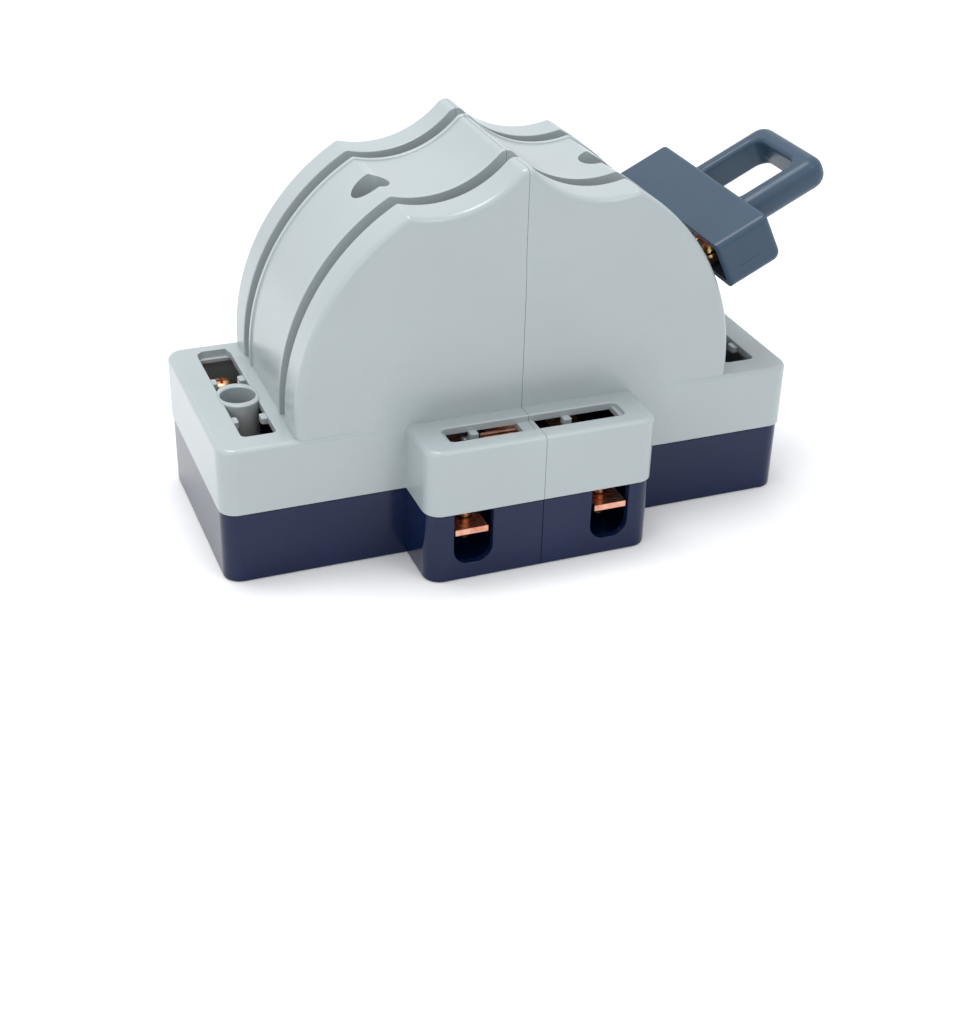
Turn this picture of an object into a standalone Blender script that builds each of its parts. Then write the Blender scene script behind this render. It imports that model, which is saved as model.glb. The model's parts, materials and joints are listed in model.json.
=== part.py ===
"""Two-pole, double-throw knife switch with an arched cover.

X runs along the base, -Y is the front with the middle terminals, +Z is up, and the origin
is the centre of the base's underside. Lengths below are in millimetres and become metres
when a mesh is made.
"""

import math

import bmesh
import bpy

MM = 0.001
GAP = 0.3

# Base
BASE_LENGTH = 240.0
BASE_WIDTH = 94.0
BASE_HEIGHT = 29.5
BASE_SETBACK = 0.5
BASE_WALL = 3.0
CORNER_R = 7.0
RECESS_DEPTH = 2.0
FLOOR_TOP = 6.0
PLATFORM_TOP = 29.6
TERMINAL_TOP = 41.6

# Front terminal box
BOX_HALF = 47.5
BOX_FRONT = -72.6
BOX_BACK = -40.0
BOX_FLOOR = 4.0
WINDOW_X = 28.6
WINDOW_WIDTH = 15.8
WINDOW_LOW = 7.0
WINDOW_R = 6.5
DOORWAY_BACK = -35.0
GROOVE = 0.6
PILLAR_R = 5.0

# Cover
COVER_LOW = BASE_HEIGHT + GAP
FLANGE_TOP = 57.3
COVER_WALL = 3.0
FACE_Y = 46.0
FACE_BEVEL = 2.6
ARCH_R = 90.4
SCALLOP_R = 43.0
SCALLOP_X = 34.0
SCALLOP_Z = 181.2
RIDGE_R = 4.2
INNER_R = 76.0
SLOT_NEAR = 23.2
SLOT_FAR = 30.9
SLOT_LOW = 57.8
SLOT_WALL = 2.5
WELL_X = 46.7
WELL_Y = -3.0
WELL_R = 7.3
WELL_FLOOR = 60.0
BOX_SLOT_HALF = 36.5
BOX_SLOT_Y = (-65.0, -54.0)
BRIDGE_X = (-5.0, 2.0)
BRIDGE_TOP = 54.8
BOX_TAB_X = (-23.2, 15.5)

# End openings
END_X = 101.7
END_HALF = 6.7
END_FRONT = -36.3
END_BACK = 38.2
LEDGE_BACK = 40.5
LEDGE_Z = 54.4
LEDGE_THICK = 1.4
TUBE_Y = -3.0
TUBE_LENGTH = 20.6
TUBE_WIDTH = 15.3
TUBE_BORE_R = 6.9
TUBE_RISE = 0.6
TAB_APART = 17.2
TAB_REACH = 2.4
TAB_HALF = 2.4
TAB_DROP = 1.0
SEAT_R = 6.4
SEAT_RISE = 1.0
FIXING_SLOT = (9.0, 6.0)

# Pivot, poles and blades
PIVOT_Z = 61.7
POLE_Y = 27.0
REST_ANGLE = 26.3
BLADE_THICK = 3.0
BLADE_HALF = 7.5
BLADE_END = 112.0
BLADE_SCREW_R = 98.2
BOLT_R = 3.0

# Handle, in the blade's own directions
BLOCK_INNER = 94.6
BLOCK_OUTER = 118.8
BLOCK_HALF_HEIGHT = 10.5
BLOCK_HALF_LENGTH = 45.0
BLOCK_WALL = 2.6
RIB = 3.0
LOOP_OUTER = 156.7
LOOP_HALF_LENGTH = 24.5
LOOP_BAR = 9.0
LOOP_HALF_HEIGHT = 6.5

# Jaws, bars and their screws
JAW_X = 66.0
JAW_HALF = 8.0
JAW_TOP = 74.0
FOOT_SCREW_X = 83.0
LEAF_GAP = 0.2
LEAF = 1.5
SPRING = 0.9
SPRING_Z = (47.0, 55.0)
FOOT = 2.0
BAR = 2.7
HINGE_SCREW_X = 15.0
BAR_DROP_Y = -58.0
PLATE_LOW = 19.5
COMMON_SCREW_Y = -61.5
COMMON_SCREW_Z = 36.0
UPSTAND = 2.2
UPSTAND_Y = -55.5
UPSTAND_TOP = 53.5
UPSTAND_X = (-6.0, -30.0)
UPSTAND_WIDTH = 14.6
END_SCREW_Z = 47.0
SCREW_HOLE_R = 2.3
TERMINAL_HOLE_R = 2.8

POLES = (("front", -1), ("rear", 1))
SIDES = (("left", -1), ("right", 1))


def clear_scene():
    for obj in list(bpy.data.objects):
        bpy.data.objects.remove(obj, do_unlink=True)


def material(name, colour, roughness, metallic=0.0):
    made = bpy.data.materials.new(name)
    made.use_nodes = True
    shader = made.node_tree.nodes["Principled BSDF"]
    shader.inputs["Base Color"].default_value = (*colour, 1.0)
    shader.inputs["Roughness"].default_value = roughness
    shader.inputs["Metallic"].default_value = metallic
    return made


# Outlines: lists of (u, v) points in millimetres


def arc(u, v, radius, start, end, steps):
    """Points on a circle round (u, v), from one angle to another in degrees."""
    turns = [math.radians(start + (end - start) * i / steps) for i in range(steps + 1)]
    return [(u + radius * math.cos(a), v + radius * math.sin(a)) for a in turns]


def rectangle(u_low, u_high, v_low, v_high):
    return [(u_low, v_low), (u_high, v_low), (u_high, v_high), (u_low, v_high)]


def rounded(u_low, u_high, v_low, v_high, radius, steps=4):
    """A rectangle with round corners."""
    return (
        arc(u_high - radius, v_low + radius, radius, -90, 0, steps)
        + arc(u_high - radius, v_high - radius, radius, 0, 90, steps)
        + arc(u_low + radius, v_high - radius, radius, 90, 180, steps)
        + arc(u_low + radius, v_low + radius, radius, 180, 270, steps)
    )


def disc(u, v, radius, steps=20):
    return arc(u, v, radius, 0, 360, steps)[:-1]


def screw_hole(u, v, radius=SCREW_HOLE_R):
    return disc(u, v, radius, 12)


def arch(inset, low):
    """The arch from the front: circle sides, two scallops and a ridge, moved in by inset."""
    radius = ARCH_R - inset
    scallop = SCALLOP_R + inset
    ridge = max(RIDGE_R - inset, 0.4)
    rise = SCALLOP_Z - PIVOT_Z
    apart = math.hypot(SCALLOP_X, rise)
    along = (apart**2 + radius**2 - scallop**2) / (2 * apart)
    across = math.sqrt(radius**2 - along**2)
    cusp_u = (SCALLOP_X * along + rise * across) / apart
    cusp_v = PIVOT_Z + (rise * along - SCALLOP_X * across) / apart
    ridge_v = SCALLOP_Z - math.sqrt((scallop + ridge) ** 2 - SCALLOP_X**2)
    side = math.degrees(math.atan2(cusp_v - PIVOT_Z, cusp_u))
    dip_start = math.degrees(math.atan2(cusp_v - SCALLOP_Z, cusp_u - SCALLOP_X))
    dip_end = math.degrees(math.atan2(ridge_v - SCALLOP_Z, -SCALLOP_X))
    lean = math.degrees(math.atan2(SCALLOP_Z - ridge_v, SCALLOP_X))
    right = [(radius, low)]
    right += arc(0, PIVOT_Z, radius, 0, side, 14)
    right += arc(SCALLOP_X, SCALLOP_Z, scallop, dip_start, dip_end, 9)[1:]
    right += arc(0, ridge_v, ridge, lean, 90, 2)[1:]
    left = [(-u, v) for u, v in reversed(right[:-1])]
    return right + left


# Meshes


def prism(outline, low, high, axis="Z", bevel=0.0, bevel_low=False, steps=2):
    """An outline made solid from low to high along an axis, with its end edges bevelled."""
    bm = bmesh.new()
    places = {
        "Z": lambda u, v, w: (u, v, w),
        "Y": lambda u, v, w: (u, w, v),
        "X": lambda u, v, w: (w, u, v),
    }
    place = places[axis]
    floor = bm.faces.new([bm.verts.new(place(u, v, low)) for u, v in outline])
    raised = bmesh.ops.extrude_face_region(bm, geom=[floor])["geom"]
    top = next(item for item in raised if isinstance(item, bmesh.types.BMFace))
    shift = place(0.0, 0.0, high - low)
    bmesh.ops.translate(bm, verts=top.verts[:], vec=shift)
    bmesh.ops.recalc_face_normals(bm, faces=bm.faces[:])
    if bevel:
        rims = list(top.edges)
        if bevel_low:
            rims += list(floor.edges)
        bmesh.ops.bevel(
            bm,
            geom=rims,
            offset=bevel,
            offset_type="OFFSET",
            affect="EDGES",
            segments=steps,
            profile=0.5,
            material=-1,
        )
    return bm


def turned(profile, steps=20):
    """A solid turned round Z from (radius, height) points that run top to bottom."""
    bm = bmesh.new()
    verts = [bm.verts.new((radius, 0.0, height)) for radius, height in profile]
    edges = [bm.edges.new(pair) for pair in zip(verts, verts[1:])]
    bmesh.ops.spin(
        bm,
        geom=verts + edges,
        cent=(0, 0, 0),
        axis=(0, 0, 1),
        angle=math.tau,
        steps=steps,
        use_merge=True,
    )
    bmesh.ops.remove_doubles(bm, verts=bm.verts[:], dist=1e-4)
    bmesh.ops.recalc_face_normals(bm, faces=bm.faces[:])
    return bm


def solid(name, bm, finish, parent=None):
    """The bmesh, in millimetres, as a named object in metres."""
    bmesh.ops.scale(bm, vec=(MM, MM, MM), verts=bm.verts[:])
    mesh = bpy.data.meshes.new(name)
    bm.to_mesh(mesh)
    bm.free()
    mesh.shade_smooth()
    mesh.set_sharp_from_angle(angle=math.radians(35))
    obj = bpy.data.objects.new(name, mesh)
    bpy.context.scene.collection.objects.link(obj)
    obj.parent = parent
    if finish:
        mesh.materials.append(finish)
    return obj


def combine(target, bm, operation):
    """A Boolean of the bmesh with the target; the helper object is kept hidden."""
    helper = solid(f"{target.name}_{operation.lower()}", bm, None, target.parent)
    helper.location = target.location
    helper.rotation_euler = target.rotation_euler
    combine_object(target, helper, operation)


def combine_object(target, helper, operation):
    helper.hide_render = True
    helper.display_type = "WIRE"
    modifier = target.modifiers.new(operation, "BOOLEAN")
    modifier.operation = operation
    modifier.solver = "EXACT"
    modifier.object = helper


def add(target, bm):
    combine(target, bm, "UNION")


def cut(target, bm):
    combine(target, bm, "DIFFERENCE")


def moved(bm, x=0.0, y=0.0, z=0.0):
    bmesh.ops.translate(bm, verts=bm.verts[:], vec=(x, y, z))
    return bm


# Base


def make_base(finish):
    wall = BASE_WALL
    half_length = BASE_LENGTH / 2 - BASE_SETBACK
    half_width = BASE_WIDTH / 2 - BASE_SETBACK
    box_half = BOX_HALF - BASE_SETBACK
    box_front = BOX_FRONT + BASE_SETBACK
    above = BASE_HEIGHT + 1
    body = rounded(-half_length, half_length, -half_width, half_width, CORNER_R)
    box = rounded(-box_half, box_half, box_front, 0, CORNER_R)
    base = solid("base", prism(body, 0, BASE_HEIGHT), finish)
    add(base, prism(box, 0, BASE_HEIGHT))
    room_u = half_length - wall
    room_v = half_width - wall
    room = rounded(-room_u, room_u, -room_v, room_v, CORNER_R - wall)
    box_room_u = box_half - wall
    box_room = rounded(-box_room_u, box_room_u, box_front + wall, -half_width, CORNER_R - wall)
    doorway = rectangle(-box_room_u, box_room_u, -half_width - 5, DOORWAY_BACK)
    cut(base, prism(room, FLOOR_TOP, above))
    cut(base, prism(doorway, FLOOR_TOP, above))
    cut(base, prism(box_room, BOX_FLOOR, above))
    for x in (-WINDOW_X, WINDOW_X):
        half = WINDOW_WIDTH / 2
        window = rounded(x - half, x + half, WINDOW_LOW, BASE_HEIGHT + 9, WINDOW_R)
        cut(base, prism(window, box_front - 2, box_front + wall + 2, "Y"))
    add_platforms(base)
    recess_underside(base, half_length, half_width)
    groove = rectangle(-GROOVE / 2, GROOVE / 2, -1, above)
    cut(base, prism(groove, box_front - 1, box_front + GROOVE, "Y"))
    return base


def add_platforms(base):
    """Raised seats for the contacts, and pillars that the cover screws run into."""
    low = FLOOR_TOP - 1
    above = PLATFORM_TOP + 2
    add(base, prism(rectangle(-39, 39, -46.2, 41), low, PLATFORM_TOP))
    for _, side in SIDES:
        for _, pole in POLES:
            y = pole * POLE_Y
            jaw = rectangle(*sorted((side * 52, side * 90)), y - 11, y + 11)
            end = rectangle(*sorted((side * 90.5, side * 113)), y - 9, y + 9)
            add(base, prism(jaw, low, PLATFORM_TOP))
            add(base, prism(end, low, TERMINAL_TOP))
        pillar_x = side * WELL_X
        add(base, prism(disc(pillar_x, WELL_Y, PILLAR_R), low, WELL_FLOOR - GAP))
        cut(base, prism(screw_hole(pillar_x, WELL_Y), 34, WELL_FLOOR + 2))
        add(base, prism(disc(side * END_X, TUBE_Y, SEAT_R, 28), low, FLOOR_TOP + SEAT_RISE))
        cut(base, prism(obround(side * END_X, TUBE_Y, *FIXING_SLOT), -1, FLOOR_TOP + 2))
        for _, pole in POLES:
            y = pole * POLE_Y
            foot_hole = screw_hole(side * FOOT_SCREW_X, y)
            end_hole = screw_hole(side * END_X, y, TERMINAL_HOLE_R)
            cut(base, prism(foot_hole, 20, above))
            cut(base, prism(end_hole, 26, TERMINAL_TOP + 2))
    for _, pole in POLES:
        hole = screw_hole(pole * HINGE_SCREW_X, pole * POLE_Y)
        cut(base, prism(hole, 20, above))


def recess_underside(base, half_length, half_width):
    """Shallow pans between ribs, which leave a flat cross of material at the origin."""
    margin = 5.0
    rib = 3.0
    end = half_length - margin
    edges = (-end, -92, -50, 0, 50, 92, end)
    for low, high in zip(edges, edges[1:]):
        for v_low, v_high in ((margin - half_width, -rib), (rib, half_width - margin)):
            if max(abs(low), abs(high)) > 93:
                v_low, v_high = (v_low, TUBE_Y - 9) if v_low < 0 else (TUBE_Y + 9, v_high)
            u_low = low + (rib if low > -end else 0)
            u_high = high - (rib if high < end else 0)
            cut(base, prism(rounded(u_low, u_high, v_low, v_high, 2, 2), -1, RECESS_DEPTH))


# Cover


def make_cover(name, side, finish):
    half_length = BASE_LENGTH / 2
    half_width = BASE_WIDTH / 2
    body = rounded(-half_length, half_length, -half_width, half_width, CORNER_R)
    box = rounded(-BOX_HALF, BOX_HALF, BOX_FRONT, 0, CORNER_R)
    cover = solid(name, prism(body, COVER_LOW, FLANGE_TOP, bevel=2.0), finish)
    add(cover, prism(box, COVER_LOW, FLANGE_TOP, bevel=2.0))
    add(cover, prism(arch(0, FLANGE_TOP - 8), -FACE_Y, FACE_Y, "Y", FACE_BEVEL, True))
    hollow_cover(cover, half_length, half_width)
    open_blade_slots(cover)
    add_well(cover, side)
    open_end(cover, side)
    open_box_top(cover, side)
    other_half = rectangle(*sorted((side * GAP / 2, -side * 200)), -100, 100)
    cut(cover, prism(other_half, 0, 200))
    return cover


def hollow_cover(cover, half_length, half_width):
    wall = COVER_WALL
    low = COVER_LOW - 1
    ceiling = FLANGE_TOP - wall
    face = FACE_Y - wall
    room_u = half_length - wall
    room_v = half_width - wall
    room = rounded(-room_u, room_u, -room_v, room_v, CORNER_R - wall)
    box_room_u = BOX_HALF - wall
    box_room = rounded(-box_room_u, box_room_u, BOX_FRONT + wall, -30, CORNER_R - wall)
    cut(cover, prism(room, low, ceiling))
    cut(cover, prism(box_room, low, ceiling))
    drum = [(INNER_R, 40)] + arc(0, PIVOT_Z, INNER_R, 0, 180, 24) + [(-INNER_R, 40)]
    cut(cover, prism(drum, -face, face, "Y"))
    pockets = (
        (-face, -SLOT_FAR - SLOT_WALL),
        (-SLOT_NEAR + SLOT_WALL, SLOT_NEAR - SLOT_WALL),
        (SLOT_FAR + SLOT_WALL, face),
    )
    for near, far in pockets:
        cut(cover, prism(arch(wall, ceiling + 3), near, far, "Y"))


def open_blade_slots(cover):
    for _, pole in POLES:
        near, far = sorted((pole * SLOT_NEAR, pole * SLOT_FAR))
        cut(cover, prism(rectangle(-100, 100, SLOT_LOW, 170), near, far, "Y"))


def obround(x, y, length, width):
    """A slot's outline, long in Y."""
    radius = width * 0.49
    return rounded(x - width / 2, x + width / 2, y - length / 2, y + length / 2, radius, 5)


def add_well(cover, side):
    """A deep screw well from the arch's shoulder down to the base's pillar."""
    x = side * WELL_X
    floor_top = WELL_FLOOR + 3.0
    post = solid(f"{cover.name}_post", prism(disc(x, WELL_Y, WELL_R + 2, 28), WELL_FLOOR, 160), None)
    combine(post, prism(arch(1.0, 40), -20, 20, "Y"), "INTERSECT")
    combine_object(cover, post, "UNION")
    cut(cover, prism(disc(x, WELL_Y, WELL_R, 28), floor_top, 160))
    cut(cover, prism(disc(x, WELL_Y, 2.4, 12), WELL_FLOOR - 1, floor_top + 1))


def open_end(cover, side):
    """The long opening over the end terminals, with its ledge, mounting tube and snap tabs."""
    x = side * END_X
    inner = END_X - END_HALF
    outer = END_X + END_HALF
    above = FLANGE_TOP + 1
    ceiling = FLANGE_TOP - COVER_WALL
    ledge = rectangle(x - END_HALF - 2, x + END_HALF + 2, END_BACK, BASE_WIDTH / 2 - 2)
    add(cover, prism(ledge, LEDGE_Z - LEDGE_THICK, ceiling + 1))
    cut(cover, prism(rounded(x - END_HALF, x + END_HALF, END_FRONT, END_BACK, 2.0), 48, above))
    step = [
        (outer, END_BACK - 4),
        (outer, END_BACK),
        (outer - 2.4, LEDGE_BACK),
        (inner + 1.3, LEDGE_BACK),
        (inner, LEDGE_BACK - 4.8),
        (inner, END_BACK - 4),
    ]
    cut(cover, prism([(side * u, v) for u, v in step], LEDGE_Z, above))
    tube = obround(x, TUBE_Y, TUBE_LENGTH, TUBE_WIDTH)
    add(cover, prism(tube, FLOOR_TOP + GAP, FLANGE_TOP + TUBE_RISE))
    cut(cover, prism(disc(x, TUBE_Y, TUBE_BORE_R, 28), FLOOR_TOP - 1, FLANGE_TOP + 2))
    for y in (TUBE_Y - TAB_APART, TUBE_Y + TAB_APART):
        for edge in (x - END_HALF, x + END_HALF):
            tab = rectangle(edge - TAB_REACH, edge + TAB_REACH, y - TAB_HALF, y + TAB_HALF)
            add(cover, prism(tab, ceiling - 0.5, FLANGE_TOP - TAB_DROP))


def open_box_top(cover, side):
    """The slot along the box's top, bridged at the seam, with this half's ledge and snap tab."""
    cut(cover, prism(rounded(-BOX_SLOT_HALF, BOX_SLOT_HALF, *BOX_SLOT_Y, 2.5), 48, FLANGE_TOP + 1))
    over = (BOX_SLOT_Y[0] - 1, BOX_SLOT_Y[1] + 1)
    add(cover, prism(rectangle(*BRIDGE_X, *over), BRIDGE_TOP - 2.2, BRIDGE_TOP))
    ledge = rectangle(*sorted((side * (BOX_SLOT_HALF - 1.7), side * (BOX_SLOT_HALF + 1.5))), *over)
    add(cover, prism(ledge, BRIDGE_TOP - 1.4, BRIDGE_TOP + 0.8))
    tab_x = BOX_TAB_X[0] if side < 0 else BOX_TAB_X[1]
    tab = rectangle(tab_x - 1.75, tab_x + 1.75, BOX_SLOT_Y[1] - 3, BOX_SLOT_Y[1] + 1)
    add(cover, prism(tab, BRIDGE_TOP - 3, BRIDGE_TOP - 0.2))


# Fixed contacts


def make_hinge(pole_name, pole, copper):
    """A foot with two upright leaves that the blade turns between."""
    y = pole * POLE_Y
    foot_u = sorted((-pole * JAW_HALF, pole * (HINGE_SCREW_X + 6)))
    foot = rectangle(*foot_u, y - 6.5, y + 6.5)
    low = PLATFORM_TOP + GAP
    clip = solid(f"hinge_clip_{pole_name}", prism(foot, low, low + FOOT), copper)
    leaf = [(-JAW_HALF, low + 0.5), (JAW_HALF, low + 0.5)] + arc(0, PIVOT_Z, JAW_HALF, 0, 180, 10)
    for way in (-1, 1):
        near = y + way * (BLADE_THICK / 2 + LEAF_GAP)
        far = near + way * LEAF
        add(clip, prism(leaf, *sorted((near, far)), "Y"))
    cut(clip, prism(disc(0, PIVOT_Z, BOLT_R + 0.2, 16), y - 9, y + 9, "Y"))
    cut(clip, prism(screw_hole(pole * HINGE_SCREW_X, y), low - 1, low + 4))


def make_hinge_hardware(pole_name, pole, steel):
    """Bolt, spring washer and nut through the leaves and the blade."""
    y = pole * POLE_Y
    out = BLADE_THICK / 2 + LEAF_GAP + LEAF + GAP
    hexagon = disc(0, PIVOT_Z, 5.8, 6)
    head = prism(hexagon, *sorted((y + pole * out, y + pole * (out + 4))), "Y")
    bolt = solid(f"hinge_bolt_{pole_name}", head, steel)
    ends = sorted((y + pole * (out + 1), y - pole * (out + 7)))
    add(bolt, prism(disc(0, PIVOT_Z, BOLT_R, 16), *ends, "Y"))
    start = y - pole * out
    for kind, thickness, outline in (("washer", 0.9, disc(0, PIVOT_Z, 6.0)), ("nut", 4.0, hexagon)):
        end = start - pole * thickness
        ring = prism(outline, *sorted((start, end)), "Y")
        piece = solid(f"hinge_{kind}_{pole_name}", ring, steel)
        cut(piece, prism(disc(0, PIVOT_Z, BOLT_R + GAP, 16), y - 15, y + 15, "Y"))
        start = end - pole * GAP


def make_common_bar(pole_name, pole, copper):
    """From the hinge's foot forward into the front box, down and out to the window."""
    y = pole * POLE_Y
    low = PLATFORM_TOP + FOOT + 2 * GAP
    window_x = pole * WINDOW_X
    outer = window_x + pole * WINDOW_WIDTH / 2 - pole * 0.6
    inner = window_x - pole * (WINDOW_WIDTH / 2 - 1.6)
    start = rectangle(*sorted((pole * 9.8, outer)), y - 6.5, y + 6.5)
    bar = solid(f"common_bar_{pole_name}", prism(start, low, low + BAR), copper)
    path = [
        (y, low),
        (BAR_DROP_Y + BAR, low),
        (BAR_DROP_Y + BAR, PLATE_LOW),
        (BOX_FRONT + 1.2, PLATE_LOW),
        (BOX_FRONT + 1.2, PLATE_LOW + BAR),
        (BAR_DROP_Y, PLATE_LOW + BAR),
        (BAR_DROP_Y, low + BAR),
        (y, low + BAR),
    ]
    add(bar, prism(path, *sorted((inner, outer)), "X"))
    if pole < 0:
        add_upstand(bar, low)
    cut(bar, prism(screw_hole(pole * HINGE_SCREW_X, y), low - 1, low + 5))
    cut(bar, prism(screw_hole(window_x, COMMON_SCREW_Y, TERMINAL_HOLE_R), PLATE_LOW - 1, PLATE_LOW + 5))


def add_upstand(bar, low):
    """The folded edge that stands up under the box's left slot, with its corner cut away."""
    inner, outer = UPSTAND_X
    step_x = inner - UPSTAND_WIDTH
    step_z = UPSTAND_TOP - 8.5
    front = [
        (outer, low),
        (inner, low),
        (inner, UPSTAND_TOP),
        (step_x, UPSTAND_TOP),
        (step_x, step_z),
        (outer, step_z),
    ]
    add(bar, prism(front, UPSTAND_Y - UPSTAND / 2, UPSTAND_Y + UPSTAND / 2, "Y"))


def make_jaw(names, side, pole, copper):
    y = pole * POLE_Y
    low = PLATFORM_TOP + GAP
    foot = rectangle(*sorted((side * (JAW_X - JAW_HALF), side * 89.5)), y - 7.5, y + 7.5)
    jaw = solid(f"jaw_{names}", prism(foot, low, low + FOOT), copper)
    near = BLADE_THICK / 2 + LEAF_GAP
    for way in (-1, 1):
        leaf = [
            (y + way * near, low + 0.5),
            (y + way * (near + LEAF), low + 0.5),
            (y + way * (near + LEAF), JAW_TOP - 3),
            (y + way * (near + LEAF + 1.2), JAW_TOP),
            (y + way * (near + 1.2), JAW_TOP),
            (y + way * near, JAW_TOP - 3),
        ]
        ends = sorted((side * (JAW_X - JAW_HALF), side * (JAW_X + JAW_HALF)))
        add(jaw, prism(leaf, *ends, "X"))
    cut(jaw, prism(screw_hole(side * FOOT_SCREW_X, y), low - 1, low + 5))


def make_jaw_spring(names, side, pole, steel):
    """A flat spring bent round both leaves, open towards the pivot."""
    y = pole * POLE_Y
    inside = BLADE_THICK / 2 + LEAF_GAP + LEAF + GAP
    outside = inside + SPRING
    start = side * (JAW_X - 7)
    end = side * (JAW_X + JAW_HALF + GAP)
    far_end = end + side * SPRING
    outline = [
        (start, y + inside),
        (end, y + inside),
        (end, y - inside),
        (start, y - inside),
        (start, y - outside),
        (far_end, y - outside),
        (far_end, y + outside),
        (start, y + outside),
    ]
    solid(f"jaw_spring_{names}", prism(outline, *SPRING_Z), steel)


def make_terminal_bar(names, side, pole, copper):
    """A cranked bar from the jaw's foot up to the end terminal."""
    y = pole * POLE_Y
    low = PLATFORM_TOP + FOOT + 2 * GAP
    high = TERMINAL_TOP + GAP
    start, crank, end = 76.5, 89.6, 110.0
    profile = [
        (start, low),
        (crank, low),
        (crank, high),
        (end, high),
        (end, high + BAR),
        (crank - BAR, high + BAR),
        (crank - BAR, low + BAR),
        (start, low + BAR),
    ]
    outline = [(side * u, v) for u, v in profile]
    bar = solid(f"terminal_bar_{names}", prism(outline, y - 7, y + 7, "Y"), copper)
    cut(bar, prism(screw_hole(side * FOOT_SCREW_X, y), low - 1, low + 5))
    cut(bar, prism(screw_hole(side * END_X, y, TERMINAL_HOLE_R), high - 1, high + 5))


def make_screw(name, finish, place, head_r, head_height, shank_r, length):
    """A pan-head cross-recessed screw whose head's underside is at place."""
    x, y, z = place
    profile = [
        (0, head_height),
        (head_r * 0.72, head_height),
        (head_r, head_height * 0.45),
        (head_r, 0),
        (shank_r, 0),
        (shank_r, -length + 1),
        (shank_r - 0.8, -length),
        (0, -length),
    ]
    screw = solid(name, moved(turned(profile, 16), x, y, z), finish)
    half = head_r * 0.16
    reach = head_r * 0.6
    for bar in (
        rectangle(x - reach, x + reach, y - half, y + half),
        rectangle(x - half, x + half, y - reach, y + reach),
    ):
        cut(screw, prism(bar, z + head_height * 0.5, z + head_height + 2))
    return screw


# Moving contacts and handle


def make_blade(pole_name, pole, copper, pivot):
    """A flat bar with a round end at the pivot, in the pivot's own directions."""
    y = pole * POLE_Y
    half = BLADE_THICK / 2
    outline = arc(0, 0, BLADE_HALF, 90, 270, 12)
    outline += [(BLADE_END, -BLADE_HALF), (BLADE_END, BLADE_HALF)]
    bar = prism(outline, y - half, y + half, "Y")
    blade = solid(f"blade_{pole_name}", bar, copper, pivot)
    cut(blade, prism(disc(0, 0, BOLT_R + GAP, 16), y - 5, y + 5, "Y"))
    cut(blade, prism(screw_hole(BLADE_SCREW_R, 0), y - 5, y + 5, "Y"))


def make_blade_hardware(pole_name, pole, brass, pivot):
    """A screw through the blade and the handle's rib, and its nut."""
    y = pole * POLE_Y
    shank_r = 2.0
    out = y + pole * (BLADE_THICK / 2 + GAP)
    head = prism(disc(BLADE_SCREW_R, 0, 3.8, 16), *sorted((out, out + pole * 2.6)), "Y")
    screw = solid(f"blade_screw_{pole_name}", head, brass, pivot)
    shank = sorted((out + pole, y - pole * 8.6))
    add(screw, prism(disc(BLADE_SCREW_R, 0, shank_r, 12), *shank, "Y"))
    slot = rectangle(BLADE_SCREW_R - 5, BLADE_SCREW_R + 5, -0.5, 0.5)
    cut(screw, prism(slot, *sorted((out + pole * 1.5, out + pole * 4)), "Y"))
    start = y - pole * (BLADE_THICK / 2 + 2 * GAP + RIB)
    hexagon = prism(disc(BLADE_SCREW_R, 0, 4.0, 6), *sorted((start, start - pole * 2.8)), "Y")
    nut = solid(f"blade_nut_{pole_name}", hexagon, brass, pivot)
    cut(nut, prism(disc(BLADE_SCREW_R, 0, shank_r + GAP, 12), y - 12, y + 12, "Y"))


def make_handle(finish, pivot):
    """A hollow crossbar, open towards the arch, with a loop grip on its far side."""
    wall = BLOCK_WALL
    half_length = BLOCK_HALF_LENGTH
    half_height = BLOCK_HALF_HEIGHT
    room_v = half_height - wall
    block = rounded(-half_length, half_length, -half_height, half_height, 1.5, 2)
    room = rectangle(wall - half_length, half_length - wall, -room_v, room_v)
    crossbar = prism(block, BLOCK_INNER, BLOCK_OUTER, "X", 1.2)
    handle = solid("handle", crossbar, finish, pivot)
    add(handle, loop_grip())
    cut(handle, prism(room, BLOCK_INNER - 2, BLOCK_OUTER - wall, "X"))
    for _, pole in POLES:
        near = pole * (POLE_Y - BLADE_THICK / 2 - GAP)
        rib = rectangle(BLOCK_INNER + 0.3, BLOCK_OUTER - 1, -room_v - 1, room_v + 1)
        add(handle, prism(rib, *sorted((near, near - pole * RIB)), "Y"))
        hole = sorted((near + pole, near - pole * 2 * RIB))
        cut(handle, prism(screw_hole(BLADE_SCREW_R, 0), *hole, "Y"))
    for y in (-9, 9):
        rib = rectangle(BLOCK_INNER + 5, BLOCK_OUTER - 1, -room_v - 1, room_v + 1)
        add(handle, prism(rib, y - 1, y + 1, "Y"))
    return handle


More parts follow.
